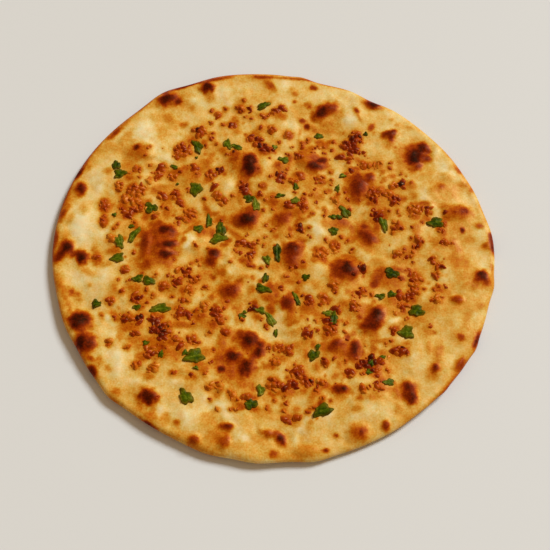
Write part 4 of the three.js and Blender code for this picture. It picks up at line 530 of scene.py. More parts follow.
CHIPS_PER_AREA = 0.38            # chips in a heap, for each square millimetre of reach squared
LARGEST_CHIP = 3.4
SMALLEST_CHIP = 2.0
HEAP_FILL = 0.9                  # how far out the outermost chips lie, as a share of the reach
FIRST_CHIP = 0.3                 # the first chip's step out, so that it isn't quite in the middle
ANGLE_JITTER = 0.6               # how far round a chip may stray, in radians
SIZE_LEAST = 0.82                # a chip's size is this share of its place's size, or more
SIZE_DRAW = 0.3                  # by a random part of this
CHIP_SPREAD = 1.38               # a heap chip's width with its soft rim, as a share of its size
HEAP_CHIP_RAISED = 0.10          # how far a heap chip stands on others at most, as a share of its width

ROAST_LEVEL = 0.605              # 0.5 amber, 1 near black
ROAST_DRIFT = 0.12               # how far the roast drifts over the bread
ROAST_GRAIN = (9, 18)
ROAST_SCATTER = 0.10             # and from chip to chip
ROAST_SPREAD = 1.1               # a row of ROASTS tells out to this times its reach

SINGLE_WIDTH = 1.55              # a single chip's size, as a share of its reach
SINGLE_RAISED = 0.12             # how far it stands up, as a share of its reach
SINGLE_PALER = 0.02
SINGLE_SCATTER = 0.04

CRUMBS_PER_AREA = 0.3
WIDE_SPOT = 2.2                  # over this reach a spot has two crumbs more, and under it one
CRUMB_REACH = 1.2                # how far out the crumbs lie, as a share of the reach
CRUMB_CROWDING = 0.6             # under 1 more of them lie far out
SMALLEST_CRUMB = 1.2
LARGEST_CRUMB = 2.6
CRUMB_PILE = 0.6                 # inside this share of the reach they lie on chips
CRUMB_RAISED = 0.35
CRUMB_PALER = 0.08

LOOSE_CHIPS = 110
LOOSE_SMALLEST = 1.0
LOOSE_LARGEST = 2.8
LOOSE_FINENESS = 1.6             # over 1 more of them are small
LOOSE_REACH = 93                 # how far out they lie
LOOSE_NEAR_HEAPS = 0.45          # share of them that lie round a heap
LOOSE_ROUND_HEAP = (0.9, 2.6)    # how far from its middle, as a share of its reach
LOOSE_STRAY = 2.0                # and so many millimetres further at most
LOOSE_SLACK = 2                  # how far past LOOSE_REACH they may stray
LOOSE_PALER = 0.06
LOOSE_BARE = 0.35                # none lie where more than this share is a pale patch

# ---- Baking: browning goes from 0, cream, to 1, near black ----

BASE_BROWNING = 0.222
MOTTLE = [(0.075, 21, 7), (0.085, 10, 8), (0.065, 4.6, 9), (0.03, 2.0, 10)]
MIDDLE = (0.05, 98, 25)          # the golden middle: how much browner, how far out, how wide its fade
PUFF_PALE = (0.072, 0.8)         # how much paler a puff is, and its reach as a share of the puff's
CREAM_PALE = (0.13, 1.1)         # the same for a pale patch
CREAM_UNEVEN = 0.5
CREAM_GRAIN = (3, 17)
CREAM_CLEAR = 1.15               # reach in which a pale patch keeps off dots and loose chips
CREAM_DOTLESS = 0.8              # share of the dots that it hides

# The rim is browned in a thin line and in a wide band. Each has an amount all round, a width,
# and rows of angle, amount and spread. The line's rows below nothing, round the near side, pale the
# rim: partly its paler dough, partly painted light that stands in for light bounced onto the shaded near
# edge.
LINE_BROWNING = 0.07
LINE_WIDTH = 1.7
RIM_LINE_AND_BOUNCE_LIGHT = [(180, 0.02, 35), (-146, -0.02, 12), (-92, -0.24, 20), (-60, -0.12, 8), (-47, 0.06, 5),
            (-34, 0.12, 12), (-12, -0.04, 14), (70, 0.10, 8), (25, 0.06, 14), (92, 0.22, 16),
            (122, 0.20, 14), (150, 0.16, 16)]
BAND_BROWNING = 0.05
BAND_WIDTH = 6
BAND_SHARE = 0.6                 # of the rows' amounts
RIM_BAND = [(180, 0.11, 35), (-146, 0.11, 12), (-110, 0.14, 16), (-85, 0.14, 16), (-60, 0.08, 12),
            (92, 0.03, 16), (122, 0.10, 14), (150, 0.12, 16)]
RIM_UNEVEN = 0.5
RIM_GRAIN = (9, 12)

# Butter round the heaps and chips
STAIN_DEPTH = 0.95               # how much of a heap's middle is stained
STAIN_PAST = 0.6                 # how far the stain goes past the heap's reach
STAIN_EDGE = 3                   # how sharply it ends
STAIN_AMOUNT = 0.62
STAIN_UNEVEN = 0.70
STAIN_GRAIN = (2.6, 16)
STAIN_BROWNING = 0.49            # what it browns the crust to
HALO_PAST = 0.35                 # how far a halo goes past its chip
HALO_BROWNING = 0.60
HALO_AMOUNT = 0.7
CHIPS_AT_ONCE = 40               # halos are worked out for so many chips at a time

# Soft browned dots in the crust
DOTS = 300
DOT_REACH = 97                   # how far out they lie
DOT_CROWDING = 0.56              # over 0.5 more of them lie near the middle
DOT_SMALLEST = 1.5
DOT_LARGEST = 4.2
DOT_FINENESS = 1.5               # over 1 more of them are small
DOT_CHAR = (0.42, 0.30, 1.3)     # the least, the most on top of it, and how few are that dark
DOT_CHAR_BY_SIZE = 0.02
DOT_SPREAD = 1.1                 # reach of a dot, as a share of half its size
DOT_EDGE = 2.5                   # how sharply it ends
DOT_PARTS = 40                   # the dots are worked out in so many parts

# How a scorch or a blister browns the crust
RAGGED = [(0.24, 2.6, 5), (0.14, 1.3, 6)]
# The skirt lies to the left and nearer, on the side away from the light: this shift paints shade there.
SKIRT_SHADE_SHIFT = (0.07, 0.05)       # how far its skirt lies to the left and nearer, as a share of its size
SKIRT_WIDTH = 1.5                # over the root of length times width, and added to 1: the skirt's reach
SKIRT_MOST = 0.58                # the brownest that a skirt gets
SCORCH_SKIRT = 0.6               # share of the skirt's browning that shows
BLISTER_SKIRT = 0.8
CORE_REACH = 1.08
CORE_EDGE = 2.8

# The underside, which has scorches of its own
UNDER_BROWNING = 0.24
UNDER_MOTTLE = [(0.14, 23, 13), (0.08, 8, 14), (0.05, 3, 15)]
UNDER_RIM = (0.20, 9)            # how much browner its border is, and how wide
UNDER_SCORCHES = 70
UNDER_REACH = 112
UNDER_JITTER = 1.2               # how far round a scorch may stray, in radians
UNDER_LENGTHS = (3.5, 15)
UNDER_WIDTHS = (0.5, 0.95)       # as a share of its length
UNDER_CHARS = (0.45, 0.98)
UNDER_SKIRT = 0.30

# ---- Camera: its distance and aim in the same frame as the tables ----

CAMERA_LENS = 85.0
CAMERA_SENSOR = 36.0
CAMERA_ELEVATION = 65.0
CAMERA_DISTANCE = 690.4
CAMERA_AIM = (0.9, -11.8, 4.0)


# ---------------------------------------------------------------- small helpers

FULL_TURN = 2 * math.pi
GOLDEN_ANGLE = math.radians(137.508)
SEED_STEP = 7919
SEED_START = 101
RANDOM_STEP = 48271
RANDOM_LIMIT = 2147483647
NOISE_SHIFT = (17.3, -9.1)       # how far each pattern's grid is shifted from the one before
NOISE_MIX = (12.9898, 78.233, 3.17)
NOISE_SCALE = 43758.5453


def hump(value, spread):
    """A smooth bump: e to the minus square of value over spread."""
    return np.exp(-((value / spread) ** 2))


def turn_between(a, b):
    """The shortest signed turn from direction b to direction a, in degrees."""
    return (a - b + 540) % 360 - 180


def ease(value):
    """Nothing below 0, one above 1, and a smooth S between."""
    t = np.clip(value, 0, 1)
    return t * t * (3 - 2 * t)


def seeded(start):
    """Repeatable random numbers from 0 to 1, by the Park-Miller rule."""
    state = start * SEED_STEP + SEED_START
    while True:
        state = (state * RANDOM_STEP) % RANDOM_LIMIT
        yield state / RANDOM_LIMIT


def soft_noise(x, y, size, number):
    """Smooth random values from -1 to 1: one value at each crossing of a turned square grid
    with cells of the given size, blended with an S curve between the four crossings."""
    c, s = math.cos(number), math.sin(number)
    u = (x * c + y * s) / size + NOISE_SHIFT[0] * number
    v = (y * c - x * s) / size + NOISE_SHIFT[1] * number
    i, j = np.floor(u), np.floor(v)
    fu, fv = ease(u - i), ease(v - j)

    def crossing(a, b):
        """The value at a crossing: the fraction of a long sine, from -1 to 1."""
        wave = np.sin(a * NOISE_MIX[0] + b * NOISE_MIX[1] + number * NOISE_MIX[2]) * NOISE_SCALE
        return 2 * (wave - np.floor(wave)) - 1

    low = crossing(i, j) * (1 - fu) + crossing(i + 1, j) * fu
    high = crossing(i, j + 1) * (1 - fu) + crossing(i + 1, j + 1) * fu
    return low * (1 - fv) + high * fv


def layered(x, y, rows, start=0):
    """A start value plus layers of noise, given as rows of amount, size and pattern."""
    return sum((amount * soft_noise(x, y, size, number) for amount, size, number in rows), start)


def linear(red, green, blue):
    """A screen colour, 0 to 255 a channel, as Blender's linear colour."""
    channels = [channel / 255 for channel in (red, green, blue)]
    return tuple(c / 12.92 if c <= 0.04045 else ((c + 0.055) / 1.055) ** 2.4 for c in channels) + (1.0,)


# ---------------------------------------------------------------- the form of the bread

def edge_radius(angle):
    """Distance from the outline's centre to the edge: a turned ellipse's radius, plus each bulge."""
    across = angle - math.radians(LONG_AXIS_TURN)
    radius = LONG_RADIUS * SHORT_RADIUS / np.hypot(SHORT_RADIUS * np.cos(across),
                                                   LONG_RADIUS * np.sin(across))
    degrees = np.degrees(angle)
    for at, out, spread in BULGES:
        radius = radius + out * hump(turn_between(degrees, at), spread)
    return radius


def inside_edge(angle, gap):
    """The place that lies a distance in from the edge, in one direction."""
    reach = edge_radius(angle) - gap
    return OUTLINE_CENTRE[0] + reach * np.cos(angle), OUTLINE_CENTRE[1] + reach * np.sin(angle)


def from_edge(x, y):
    """The other way round: a place's direction, and its distance in from the edge."""
    angle = np.arctan2(y - OUTLINE_CENTRE[1], x - OUTLINE_CENTRE[0])
    return angle, edge_radius(angle) - np.hypot(x - OUTLINE_CENTRE[0], y - OUTLINE_CENTRE[1])


def edge_lift(angle, gap):
    """How far the underside's border is off the table: highest at the edge, none past its reach."""
    degrees = np.degrees(angle)
    lift = LIFT + sum(up * hump(turn_between(degrees, at), spread) for at, up, spread in LIFTS)
    return lift * np.maximum(0, 1 - gap / LIFT_REACH) ** 2


def underside_height(angle, gap):
    """The border's lift, plus a quarter round up into the edge."""
    inside = np.maximum(0, 1 - gap / BOTTOM_ROUND)
    return edge_lift(angle, gap) + EDGE_MIDDLE * EDGE_THICKNESS * (1 - np.sqrt(1 - inside ** 2))


def mark_distance(x, y, mark):
    """Distance from a mark's middle, where 1 is the edge of an ellipse of its length and width."""
    mark_x, mark_y, length, width, turn = mark[:5]
    c, s = math.cos(math.radians(turn)), math.sin(math.radians(turn))
    along = ((x - mark_x) * c + (y - mark_y) * s) / (length / 2)
    across = ((y - mark_y) * c - (x - mark_x) * s) / (width / 2)
    return np.hypot(along, across)


def swell(x, y):
    """Slow waves of the sheet: a sum of sine waves, each with its direction, phase and height."""
    height = 0
    for length, turn, phase, rise in SWELLS:
        along = x * math.cos(math.radians(turn)) + y * math.sin(math.radians(turn))
        height = height + rise * np.sin(FULL_TURN * along / length + math.radians(phase))
    return height


def bumps(x, y):
    """Pale puffs and charred blisters, each a smooth dome."""
    height = 0
    for puff_x, puff_y, reach, rise in PUFFS:
        height = height + rise * hump(np.hypot(x - puff_x, y - puff_y), reach)
    for blister in BLISTERS:
        rise = BLISTER_RISE * math.sqrt(blister[3])
        height = height + rise * hump(mark_distance(x, y, blister), 2 * BLISTER_SPREAD)
    return height


def fine_relief(x, y):
    """Small bubbles, wrinkles and pores as three sizes of noise, low domes for the scorches and the
    pale patches, and a shallow dip round each blister with a rough top."""
    height = layered(x, y, FINE_GRAIN)
    for scorch in SCORCHES_AND_SHADOWS:
        rise = SCORCH_RISE * math.sqrt(scorch[3])
        height = height + rise * hump(mark_distance(x, y, scorch), SCORCH_SPREAD)
    for cream in CREAMS_AND_SHINE:
        rise = CREAM_RISE * math.sqrt(cream[3])
        height = height + rise * hump(mark_distance(x, y, cream), CREAM_SPREAD)
    deep, moat_out, moat_wide = MOAT
    high, rough_out = BLISTER_ROUGH
    rough = high * soft_noise(x, y, *BLISTER_GRAIN)
    for blister in BLISTERS:
        away = mark_distance(x, y, blister)
        height = height - deep * hump(away - moat_out, moat_wide) + rough * hump(away, rough_out)
    return height


def heap_relief(x, y):
    """Rough ground of melted crumbs under each heap: a height with noise, where the heap stains."""
    return (HEAP_GROUND + HEAP_ROUGH * soft_noise(x, y, *HEAP_GRAIN)) * heap_stains(x, y)


def top_height(angle, gap, x, y):
    """The border's lift, a thickness that thins and rounds down at the edge, and the relief."""
    thickness = THICKNESS - (THICKNESS - EDGE_THICKNESS) * hump(gap, EDGE_FALL)
    inside = np.maximum(0, 1 - gap / TOP_ROUND)
    rounding = EDGE_MIDDLE + (1 - EDGE_MIDDLE) * np.sqrt(1 - inside ** 2)
    relief = bumps(x, y) + fine_relief(x, y) + heap_relief(x, y)
    return (edge_lift(angle, gap) + thickness * rounding + swell(x, y) * np.clip(gap / SWELL_FADE, 0, 1)
            + relief * np.clip(gap / TOP_ROUND, 0, 1))


def crust_height(x, y):
    """Height of the bread's top at a place."""
    angle, gap = from_edge(x, y)
    return top_height(angle, gap, x, y)


# ---------------------------------------------------------------- chips: their places

def spots():
    """Every heap and every single chip as rows of x, y and reach."""
    return GARLIC_HEAPS + [row[:3] for row in SINGLE_CHIPS]


def roast_at(x, y, rng):
    """How roasted chips are at a place: it differs from heap to heap, and a little from chip to chip."""
    roast = ROAST_LEVEL + ROAST_DRIFT * soft_noise(x, y, *ROAST_GRAIN) + rng.normal(0, ROAST_SCATTER, len(x))
    for at_x, at_y, reach, shift in ROASTS:
        roast = roast + shift * np.exp(-(np.hypot(x - at_x, y - at_y) / (ROAST_SPREAD * reach)) ** 4)
    return roast


def heap_chips():
    """The chips of every heap as rows of x, y, size and turn: largest first, laid out like seeds
    in a sunflower, each a golden angle on from the one before."""
    rows = []
    for number, (x, y, reach) in enumerate(GARLIC_HEAPS):
        draw = seeded(number + 1)
        count = max(1, math.floor(CHIPS_PER_AREA * reach * reach + 0.5))
        for i in range(count):
            share = (i + FIRST_CHIP) / count
            angle = i * GOLDEN_ANGLE + number + ANGLE_JITTER * next(draw)
            distance = reach * HEAP_FILL * math.sqrt(share)
            size = LARGEST_CHIP + (SMALLEST_CHIP - LARGEST_CHIP) * share
            size = size * (SIZE_LEAST + SIZE_DRAW * next(draw))
            turn = FULL_TURN * next(draw)
            rows.append((x + distance * math.cos(angle), y + distance * math.sin(angle), size, turn))
    return np.array(rows)


def lifted(chips):
    """The heap chips as rows of x, y, size, turn, height over the crust, and roast."""
    rng = np.random.default_rng(SEEDS["heaps"])
    size = CHIP_SPREAD * chips[:, 2]
    up = HEAP_CHIP_RAISED * size * rng.uniform(0, 1, len(chips))
    return np.column_stack([chips[:, :2], size, chips[:, 3], up, roast_at(chips[:, 0], chips[:, 1], rng)])


def single_chips():
    """The single chips, in the same columns."""
    rng = np.random.default_rng(SEEDS["singles"])
    x, y, reach, roast = np.array(SINGLE_CHIPS).T
    turn = rng.uniform(0, math.pi, len(x))
    roast = roast - SINGLE_PALER + rng.normal(0, SINGLE_SCATTER, len(x))
    return np.column_stack([x, y, SINGLE_WIDTH * reach, turn, SINGLE_RAISED * reach, roast])


def strewn_crumbs():
    """The crumbs round each heap and each single chip, in the same columns."""
    rng = np.random.default_rng(SEEDS["crumbs"])
    rows = []
    for x, y, reach in spots():
        count = int(CRUMBS_PER_AREA * reach * reach) + (2 if reach > WIDE_SPOT else 1)
        angle = rng.uniform(0, FULL_TURN, count)
        away = CRUMB_REACH * reach * rng.uniform(0, 1, count) ** CRUMB_CROWDING
        size = rng.uniform(SMALLEST_CRUMB, LARGEST_CRUMB, count)
        turn = rng.uniform(0, FULL_TURN, count)
        up = np.where(away < CRUMB_PILE * reach, rng.uniform(0, CRUMB_RAISED, count), 0)
        crumb_x, crumb_y = x + away * np.cos(angle), y + away * np.sin(angle)
        roast = roast_at(crumb_x, crumb_y, rng) - CRUMB_PALER
        rows.append(np.stack([crumb_x, crumb_y, size, turn, up, roast], axis=1))
    return np.concatenate(rows)


def loose_chips():
    """Small chips in the same columns: some strewn round the heaps, the rest all over the bread inside
    its bare border."""
    rng = np.random.default_rng(SEEDS["loose"])
    heaps = np.array(GARLIC_HEAPS)
    near = int(LOOSE_CHIPS * LOOSE_NEAR_HEAPS)
    home = heaps[rng.integers(0, len(heaps), near)]
    angle = rng.uniform(0, FULL_TURN, near)
    away = home[:, 2] * rng.uniform(*LOOSE_ROUND_HEAP, near) + rng.uniform(0, LOOSE_STRAY, near)
    near_x = home[:, 0] + away * np.cos(angle)
    near_y = home[:, 1] + away * np.sin(angle)
    spread_angle = rng.uniform(0, FULL_TURN, LOOSE_CHIPS - near)
    spread_away = LOOSE_REACH * np.sqrt(rng.uniform(0, 1, LOOSE_CHIPS - near))
    x = np.concatenate([near_x, spread_away * np.cos(spread_angle)])
    y = np.concatenate([near_y, spread_away * np.sin(spread_angle)])
    fine = rng.uniform(0, 1, LOOSE_CHIPS) ** LOOSE_FINENESS
    size = LOOSE_SMALLEST + (LOOSE_LARGEST - LOOSE_SMALLEST) * fine
    turn = rng.uniform(0, FULL_TURN, LOOSE_CHIPS)
    rows = np.stack([x, y, size, turn, np.zeros(LOOSE_CHIPS), roast_at(x, y, rng) - LOOSE_PALER], axis=1)
    bare = cream_share(x, y) > LOOSE_BARE
    return rows[(np.hypot(x, y) < LOOSE_REACH + LOOSE_SLACK) & ~bare]


# ---------------------------------------------------------------- baking: how brown each place is

def crust_dots():
    """Soft browned dots as rows of x, y, size and char: more of them nearer the middle."""
    rng = np.random.default_rng(SEEDS["dots"])
    angle = rng.uniform(0, FULL_TURN, DOTS)
    away = DOT_REACH * rng.uniform(0, 1, DOTS) ** DOT_CROWDING
    size = DOT_SMALLEST + (DOT_LARGEST - DOT_SMALLEST) * rng.uniform(0, 1, DOTS) ** DOT_FINENESS
    least, more, rare = DOT_CHAR
    char = least + more * rng.uniform(0, 1, DOTS) ** rare + DOT_CHAR_BY_SIZE * (size - DOT_SMALLEST)
    return np.stack([away * np.cos(angle), away * np.sin(angle), size, char], axis=1)


def dotted(x, y, level, dots):
    """Browning with the dots put in: each browns its round middle to its char, and fades out softly."""
    for part in np.array_split(dots, DOT_PARTS):
        away = np.hypot(x[:, None] - part[:, 0], y[:, None] - part[:, 1]) / (0.5 * part[:, 2])
        shown = np.exp(-(away / DOT_SPREAD) ** DOT_EDGE)
        target = level[:, None] + (part[:, 3] - level[:, None]) * shown
        level = np.maximum(level, target.max(axis=1))
    return level


def heap_stains(x, y):
    """Amber stains of hot butter under and round the heaps, from 0 to 1: one less the product of what
    each heap leaves clear, which is one less a flat-topped bump."""
    clear = np.ones_like(x)
    for heap_x, heap_y, reach in spots():
        away = np.hypot(x - heap_x, y - heap_y) / (reach + STAIN_PAST)
        clear *= 1 - STAIN_DEPTH * np.exp(-away ** STAIN_EDGE)
    return 1 - clear


def cream_share(x, y):
    """How much of a place is in a pale patch, from 0 to 1: one less the product of what each leaves clear."""
    clear = np.ones_like(x)
    for cream in CREAMS_AND_SHINE:
        clear *= 1 - hump(mark_distance(x, y, cream), CREAM_CLEAR)
    return 1 - clear


def browned(x, y, start, marks, skirt):
    """Browning from 0, cream, to 1, near black. Each mark browns what is there towards its own char,
    with a flat-topped middle and a wide amber skirt that reaches a little further left and down, the side
    away from the light, where the skirt paints shade."""
    ragged = layered(x, y, RAGGED)
    level = start
    for mark in marks:
        mark_x, mark_y, length, width, turn, char = mark
        away = mark_distance(x, y, mark) + ragged
        # The skirt's middle is moved left and nearer, away from the light: painted shade on that side.
        shifted = (mark_x - SKIRT_SHADE_SHIFT[0] * length, mark_y - SKIRT_SHADE_SHIFT[1] * width, length, width, turn)
        fringe = 1 + SKIRT_WIDTH / math.sqrt(length * width)
        amber = skirt * hump(mark_distance(x, y, shifted) + ragged, fringe)
        level = level + np.maximum(0, min(char, SKIRT_MOST) - level) * np.clip(amber, 0, 1)
        core = np.exp(-np.clip(away / CORE_REACH, 0, None) ** CORE_EDGE)
        level = np.maximum(level, level + (char - level) * core)
    return level


def chip_halos(x, y, chips):
    """Amber halos of hot butter round the chips: a smooth bump for each, as wide as the chip."""
    halo = np.zeros_like(x)
    for part in np.array_split(chips, max(1, len(chips) // CHIPS_AT_ONCE)):
        away = np.hypot(x[:, None] - part[:, 0], y[:, None] - part[:, 1])
        halo += np.exp(-(away / (0.5 * part[:, 2] + HALO_PAST)) ** 2).sum(axis=1)
    return 1 - np.exp(-halo)


def round_the_rim(degrees, rows):
    """A sum of smooth bumps by angle."""
    return sum(amount * hump(turn_between(degrees, at), spread) for at, amount, spread in rows)


def rim_browning_and_bounce_light(x, y, angle, gap):
    """What the rim adds, as a thin line and a wide band: each an amount that changes round the rim,
    times a bump of the distance from the edge, made uneven by noise. Where the line's amount is below
    nothing, on the near side, it pales the rim: partly paler dough, partly painted bounce light."""
    degrees = np.degrees(angle)
    uneven = 1 + RIM_UNEVEN * soft_noise(x, y, *RIM_GRAIN)
    line = (LINE_BROWNING + round_the_rim(degrees, RIM_LINE_AND_BOUNCE_LIGHT)) * hump(gap, LINE_WIDTH) * uneven
    wide = (BAND_BROWNING + BAND_SHARE * round_the_rim(degrees, RIM_BAND)) * hump(gap, BAND_WIDTH) * uneven
    return line, wide


def top_browning(x, y, angle, gap, chips):
    """The top's browning: cream with golden mottling, paler puffs, a golden middle, a browned rim that is
    paled on the near side as painted bounce light, amber stains and halos round the chips, then the dots,
    the scorches with a few painted shadows, and the blisters; the skirts of scorches and blisters paint
    shade on their side away from the light."""
    golden, middle_reach, middle_fade = MIDDLE
    level = (BASE_BROWNING + layered(x, y, MOTTLE)
             + golden * ease((middle_reach - np.hypot(x, y)) / middle_fade))
    for puff_x, puff_y, reach, rise in PUFFS:
        away = np.hypot(x - puff_x, y - puff_y)
        level = level - PUFF_PALE[0] * rise * hump(away, reach * PUFF_PALE[1])
    uneven = 1 + CREAM_UNEVEN * soft_noise(x, y, *CREAM_GRAIN)
    # Pale patches: paler crust, and in some a painted highlight that stands in for the shine of butter
    for cream in CREAMS_AND_SHINE:
        level = level - CREAM_PALE[0] * hump(mark_distance(x, y, cream), CREAM_PALE[1]) * uneven
    line, wide = rim_browning_and_bounce_light(x, y, angle, gap)
    level = level + line + wide
    stain = heap_stains(x, y) * (STAIN_AMOUNT + STAIN_UNEVEN * soft_noise(x, y, *STAIN_GRAIN))
    level = level + np.maximum(0, STAIN_BROWNING - level) * np.clip(stain, 0, 1)
    level = level + np.maximum(0, HALO_BROWNING - level) * HALO_AMOUNT * chip_halos(x, y, chips)
    dots = dotted(x, y, level, crust_dots()) - level
    level = level + dots * (1 - CREAM_DOTLESS * cream_share(x, y))
    level = browned(x, y, level, SCORCHES_AND_SHADOWS, SCORCH_SKIRT)
    return np.clip(browned(x, y, level, BLISTERS, BLISTER_SKIRT), 0, 1)


def crust_browning(x, y, chips):
    """Browning of the bread's top at a place."""
    angle, gap = from_edge(x, y)
    return top_browning(x, y, angle, gap, chips)


def underside_browning(x, y, gap):
    """The underside's browning: floury cream with wide golden fields and many round scorches, laid
    out like seeds in a sunflower."""
    rng = np.random.default_rng(SEEDS["underside"])
    number = np.arange(UNDER_SCORCHES)
    angle = number * GOLDEN_ANGLE + rng.uniform(0, UNDER_JITTER, UNDER_SCORCHES)
    away = UNDER_REACH * np.sqrt((number + 0.5) / UNDER_SCORCHES)
    length = rng.uniform(*UNDER_LENGTHS, UNDER_SCORCHES)
    width = length * rng.uniform(*UNDER_WIDTHS, UNDER_SCORCHES)
    turn = rng.uniform(0, 180, UNDER_SCORCHES)
    char = rng.uniform(*UNDER_CHARS, UNDER_SCORCHES)
    marks = list(zip(away * np.cos(angle), away * np.sin(angle), length, width, turn, char))
    level = layered(x, y, UNDER_MOTTLE, UNDER_BROWNING) + UNDER_RIM[0] * hump(gap, UNDER_RIM[1])
    return np.clip(browned(x, y, level, marks, UNDER_SKIRT), 0, 1)


# ---------------------------------------------------------------- meshes

def disc_grid(cells):
    """Share of the way out, and direction, for each crossing of a square grid pressed round into a disc:
    each square ring becomes a circle, and places along a side become even steps of angle."""
    side = np.linspace(-1, 1, cells + 1)
    u, v = np.meshgrid(side, side, indexing="ij")
    share = np.maximum(np.abs(u), np.abs(v))
    wide = np.abs(u) >= np.abs(v)
    ratio = np.where(wide, v, u) / np.where(share == 0, 1, np.where(wide, u, v))
    angle = np.where(wide, np.where(u < 0, math.pi, 0) + math.pi / 4 * ratio,
                     math.pi / 2 + np.where(v < 0, math.pi, 0) - math.pi / 4 * ratio)
    return share.ravel(), angle.ravel()


def grid_quads(cells):
    """The four corners of each cell of a square grid, counter-clockwise from above."""
    index = np.arange((cells + 1) ** 2).reshape(cells + 1, cells + 1)
    return np.stack([index[:-1, :-1], index[1:, :-1], index[1:, 1:], index[:-1, 1:]], axis=-1).reshape(-1, 4)


def grid_border(cells):
    """The crossings round the outside of a square grid, counter-clockwise from the first corner."""
    index = np.arange((cells + 1) ** 2).reshape(cells + 1, cells + 1)
    return np.concatenate([index[:-1, 0], index[-1, :-1], index[:0:-1, -1], index[0, :0:-1]])


def band(before, after):
    """Quads between two closed lines of as many points, going outwards or round and under."""
    return np.stack([before, after, np.roll(after, -1), np.roll(before, -1)], axis=-1)


def ringed_disc(rings, around):
    """Faces of a disc, as a fan round point 0 and quads, and the point numbers of each ring."""
    index = 1 + np.arange(rings * around).reshape(rings, around)
    fan = np.stack([np.zeros(around, int), index[0], np.roll(index[0], -1)], axis=-1)
    quads = np.concatenate([band(index[r], index[r + 1]) for r in range(rings - 1)])
    return fan, quads, index


def new_piece(name, points, faces, values, material):
    """A mesh piece from points in millimetres, face corners and one value for each point of each
    named attribute, placed on the bread's body."""
    mesh = bpy.data.meshes.new(name)
    mesh.from_pydata((points * MM).tolist(), [], [face for group in faces for face in group.tolist()])
    mesh.polygons.foreach_set("use_smooth", np.ones(len(mesh.polygons), bool))
    for key, value in values.items():
        attribute = mesh.attributes.new(key, "FLOAT", "POINT")
        attribute.data.foreach_set("value", np.ascontiguousarray(value, dtype=np.float32))
    mesh.materials.append(material)
    piece = bpy.data.objects.new(name, mesh)
    bpy.context.scene.collection.objects.link(piece)
    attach(piece, BODY)
    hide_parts(NODE)


TOP_CELLS = 264
UNDER_CELLS = TOP_CELLS // 2
TOP_INSET = 4.2                          # where the top's grid ends, in from the edge
EDGE_LINES = (3.3, 2.4, 1.6, 0.9, 0.35)  # lines of the rounded edge, on the top
UNDER_LINES = (0.3, 0.9, 1.7)            # and under it
UNDER_INSET = 3.0                        # where the underside's grid ends


def bread_mesh(chips):
    """Points, faces and browning of the bread: a disc grid for the top, lines round the edge,
    and a coarser disc grid for the underside, joined two cells to one."""
    share, angle = disc_grid(TOP_CELLS)
    gap = edge_radius(angle) - share * (edge_radius(angle) - TOP_INSET)
    before = grid_border(TOP_CELLS)
    round_angle = angle[before]
    sheets = [(angle, gap, False)]
    sheets += [(round_angle, np.full_like(round_angle, line), False) for line in EDGE_LINES + (0.0,)]
    sheets += [(round_angle, np.full_like(round_angle, line), True) for line in UNDER_LINES]

    points, browning, faces, start = [], [], [grid_quads(TOP_CELLS)], 0
    for number, (angle, gap, under) in enumerate(sheets):
        x, y = inside_edge(angle, gap)
        z = underside_height(angle, gap) if under else top_height(angle, gap, x, y)
        points.append(np.stack([x, y, z], axis=-1))
        browning.append(top_browning(x, y, angle, gap, chips))
        if number > 0:
            line = start + np.arange(len(x))
            faces.append(band(before, line))
            before = line
        start += len(x)

    share, angle = disc_grid(UNDER_CELLS)
    gap = edge_radius(angle) - share * (edge_radius(angle) - UNDER_INSET)
    x, y = inside_edge(angle, gap)
    points.append(np.stack([x, y, underside_height(angle, gap)], axis=-1))
    browning.append(underside_browning(x, y, gap))
    faces.append(start + grid_quads(UNDER_CELLS)[:, ::-1])
    inner = start + grid_border(UNDER_CELLS)
    following = np.roll(inner, -1)
    outer, middle, last = before[0::2], before[1::2], np.roll(before, -2)[0::2]
    for corners in ((outer, inner, middle), (middle, inner, following), (middle, following, last)):
        faces.append(np.stack(corners, axis=-1))
    return np.concatenate(points), faces, np.concatenate(browning)


CHIP_RINGS = (0.42, 0.76, 1.0)
CHIP_AROUND = 10
CHIP_LOBES = 0.14                 # depth of its two and of its three lobes
CHIP_RAGGED = 0.10
CHIP_LEAN = (0.28, -0.6)          # how far its middle leans along, and how far across as a share of that
CHIP_LONG = (1.0, 1.45)           # its length and width, as shares of its size
CHIP_WIDE = (0.72, 1.05)
CHIP_RISE = (0.20, 0.34)          # its height, as a share of its size
CHIP_ROUGH = 0.16
CHIP_PROFILE = 1.25               # over 1 its top is flatter
CHIP_SUNK = 0.08                  # how far its rim is pressed into the crust
CHIP_FOOT = 0.4                   # how far under its rim it is closed
RAISED_ROAST = (0.10, 0.5)        # roast added by the millimetre that it stands up, and up to what height
RIM_FADE = 3.2                    # over 1 only its outermost rim is as pale as the crust


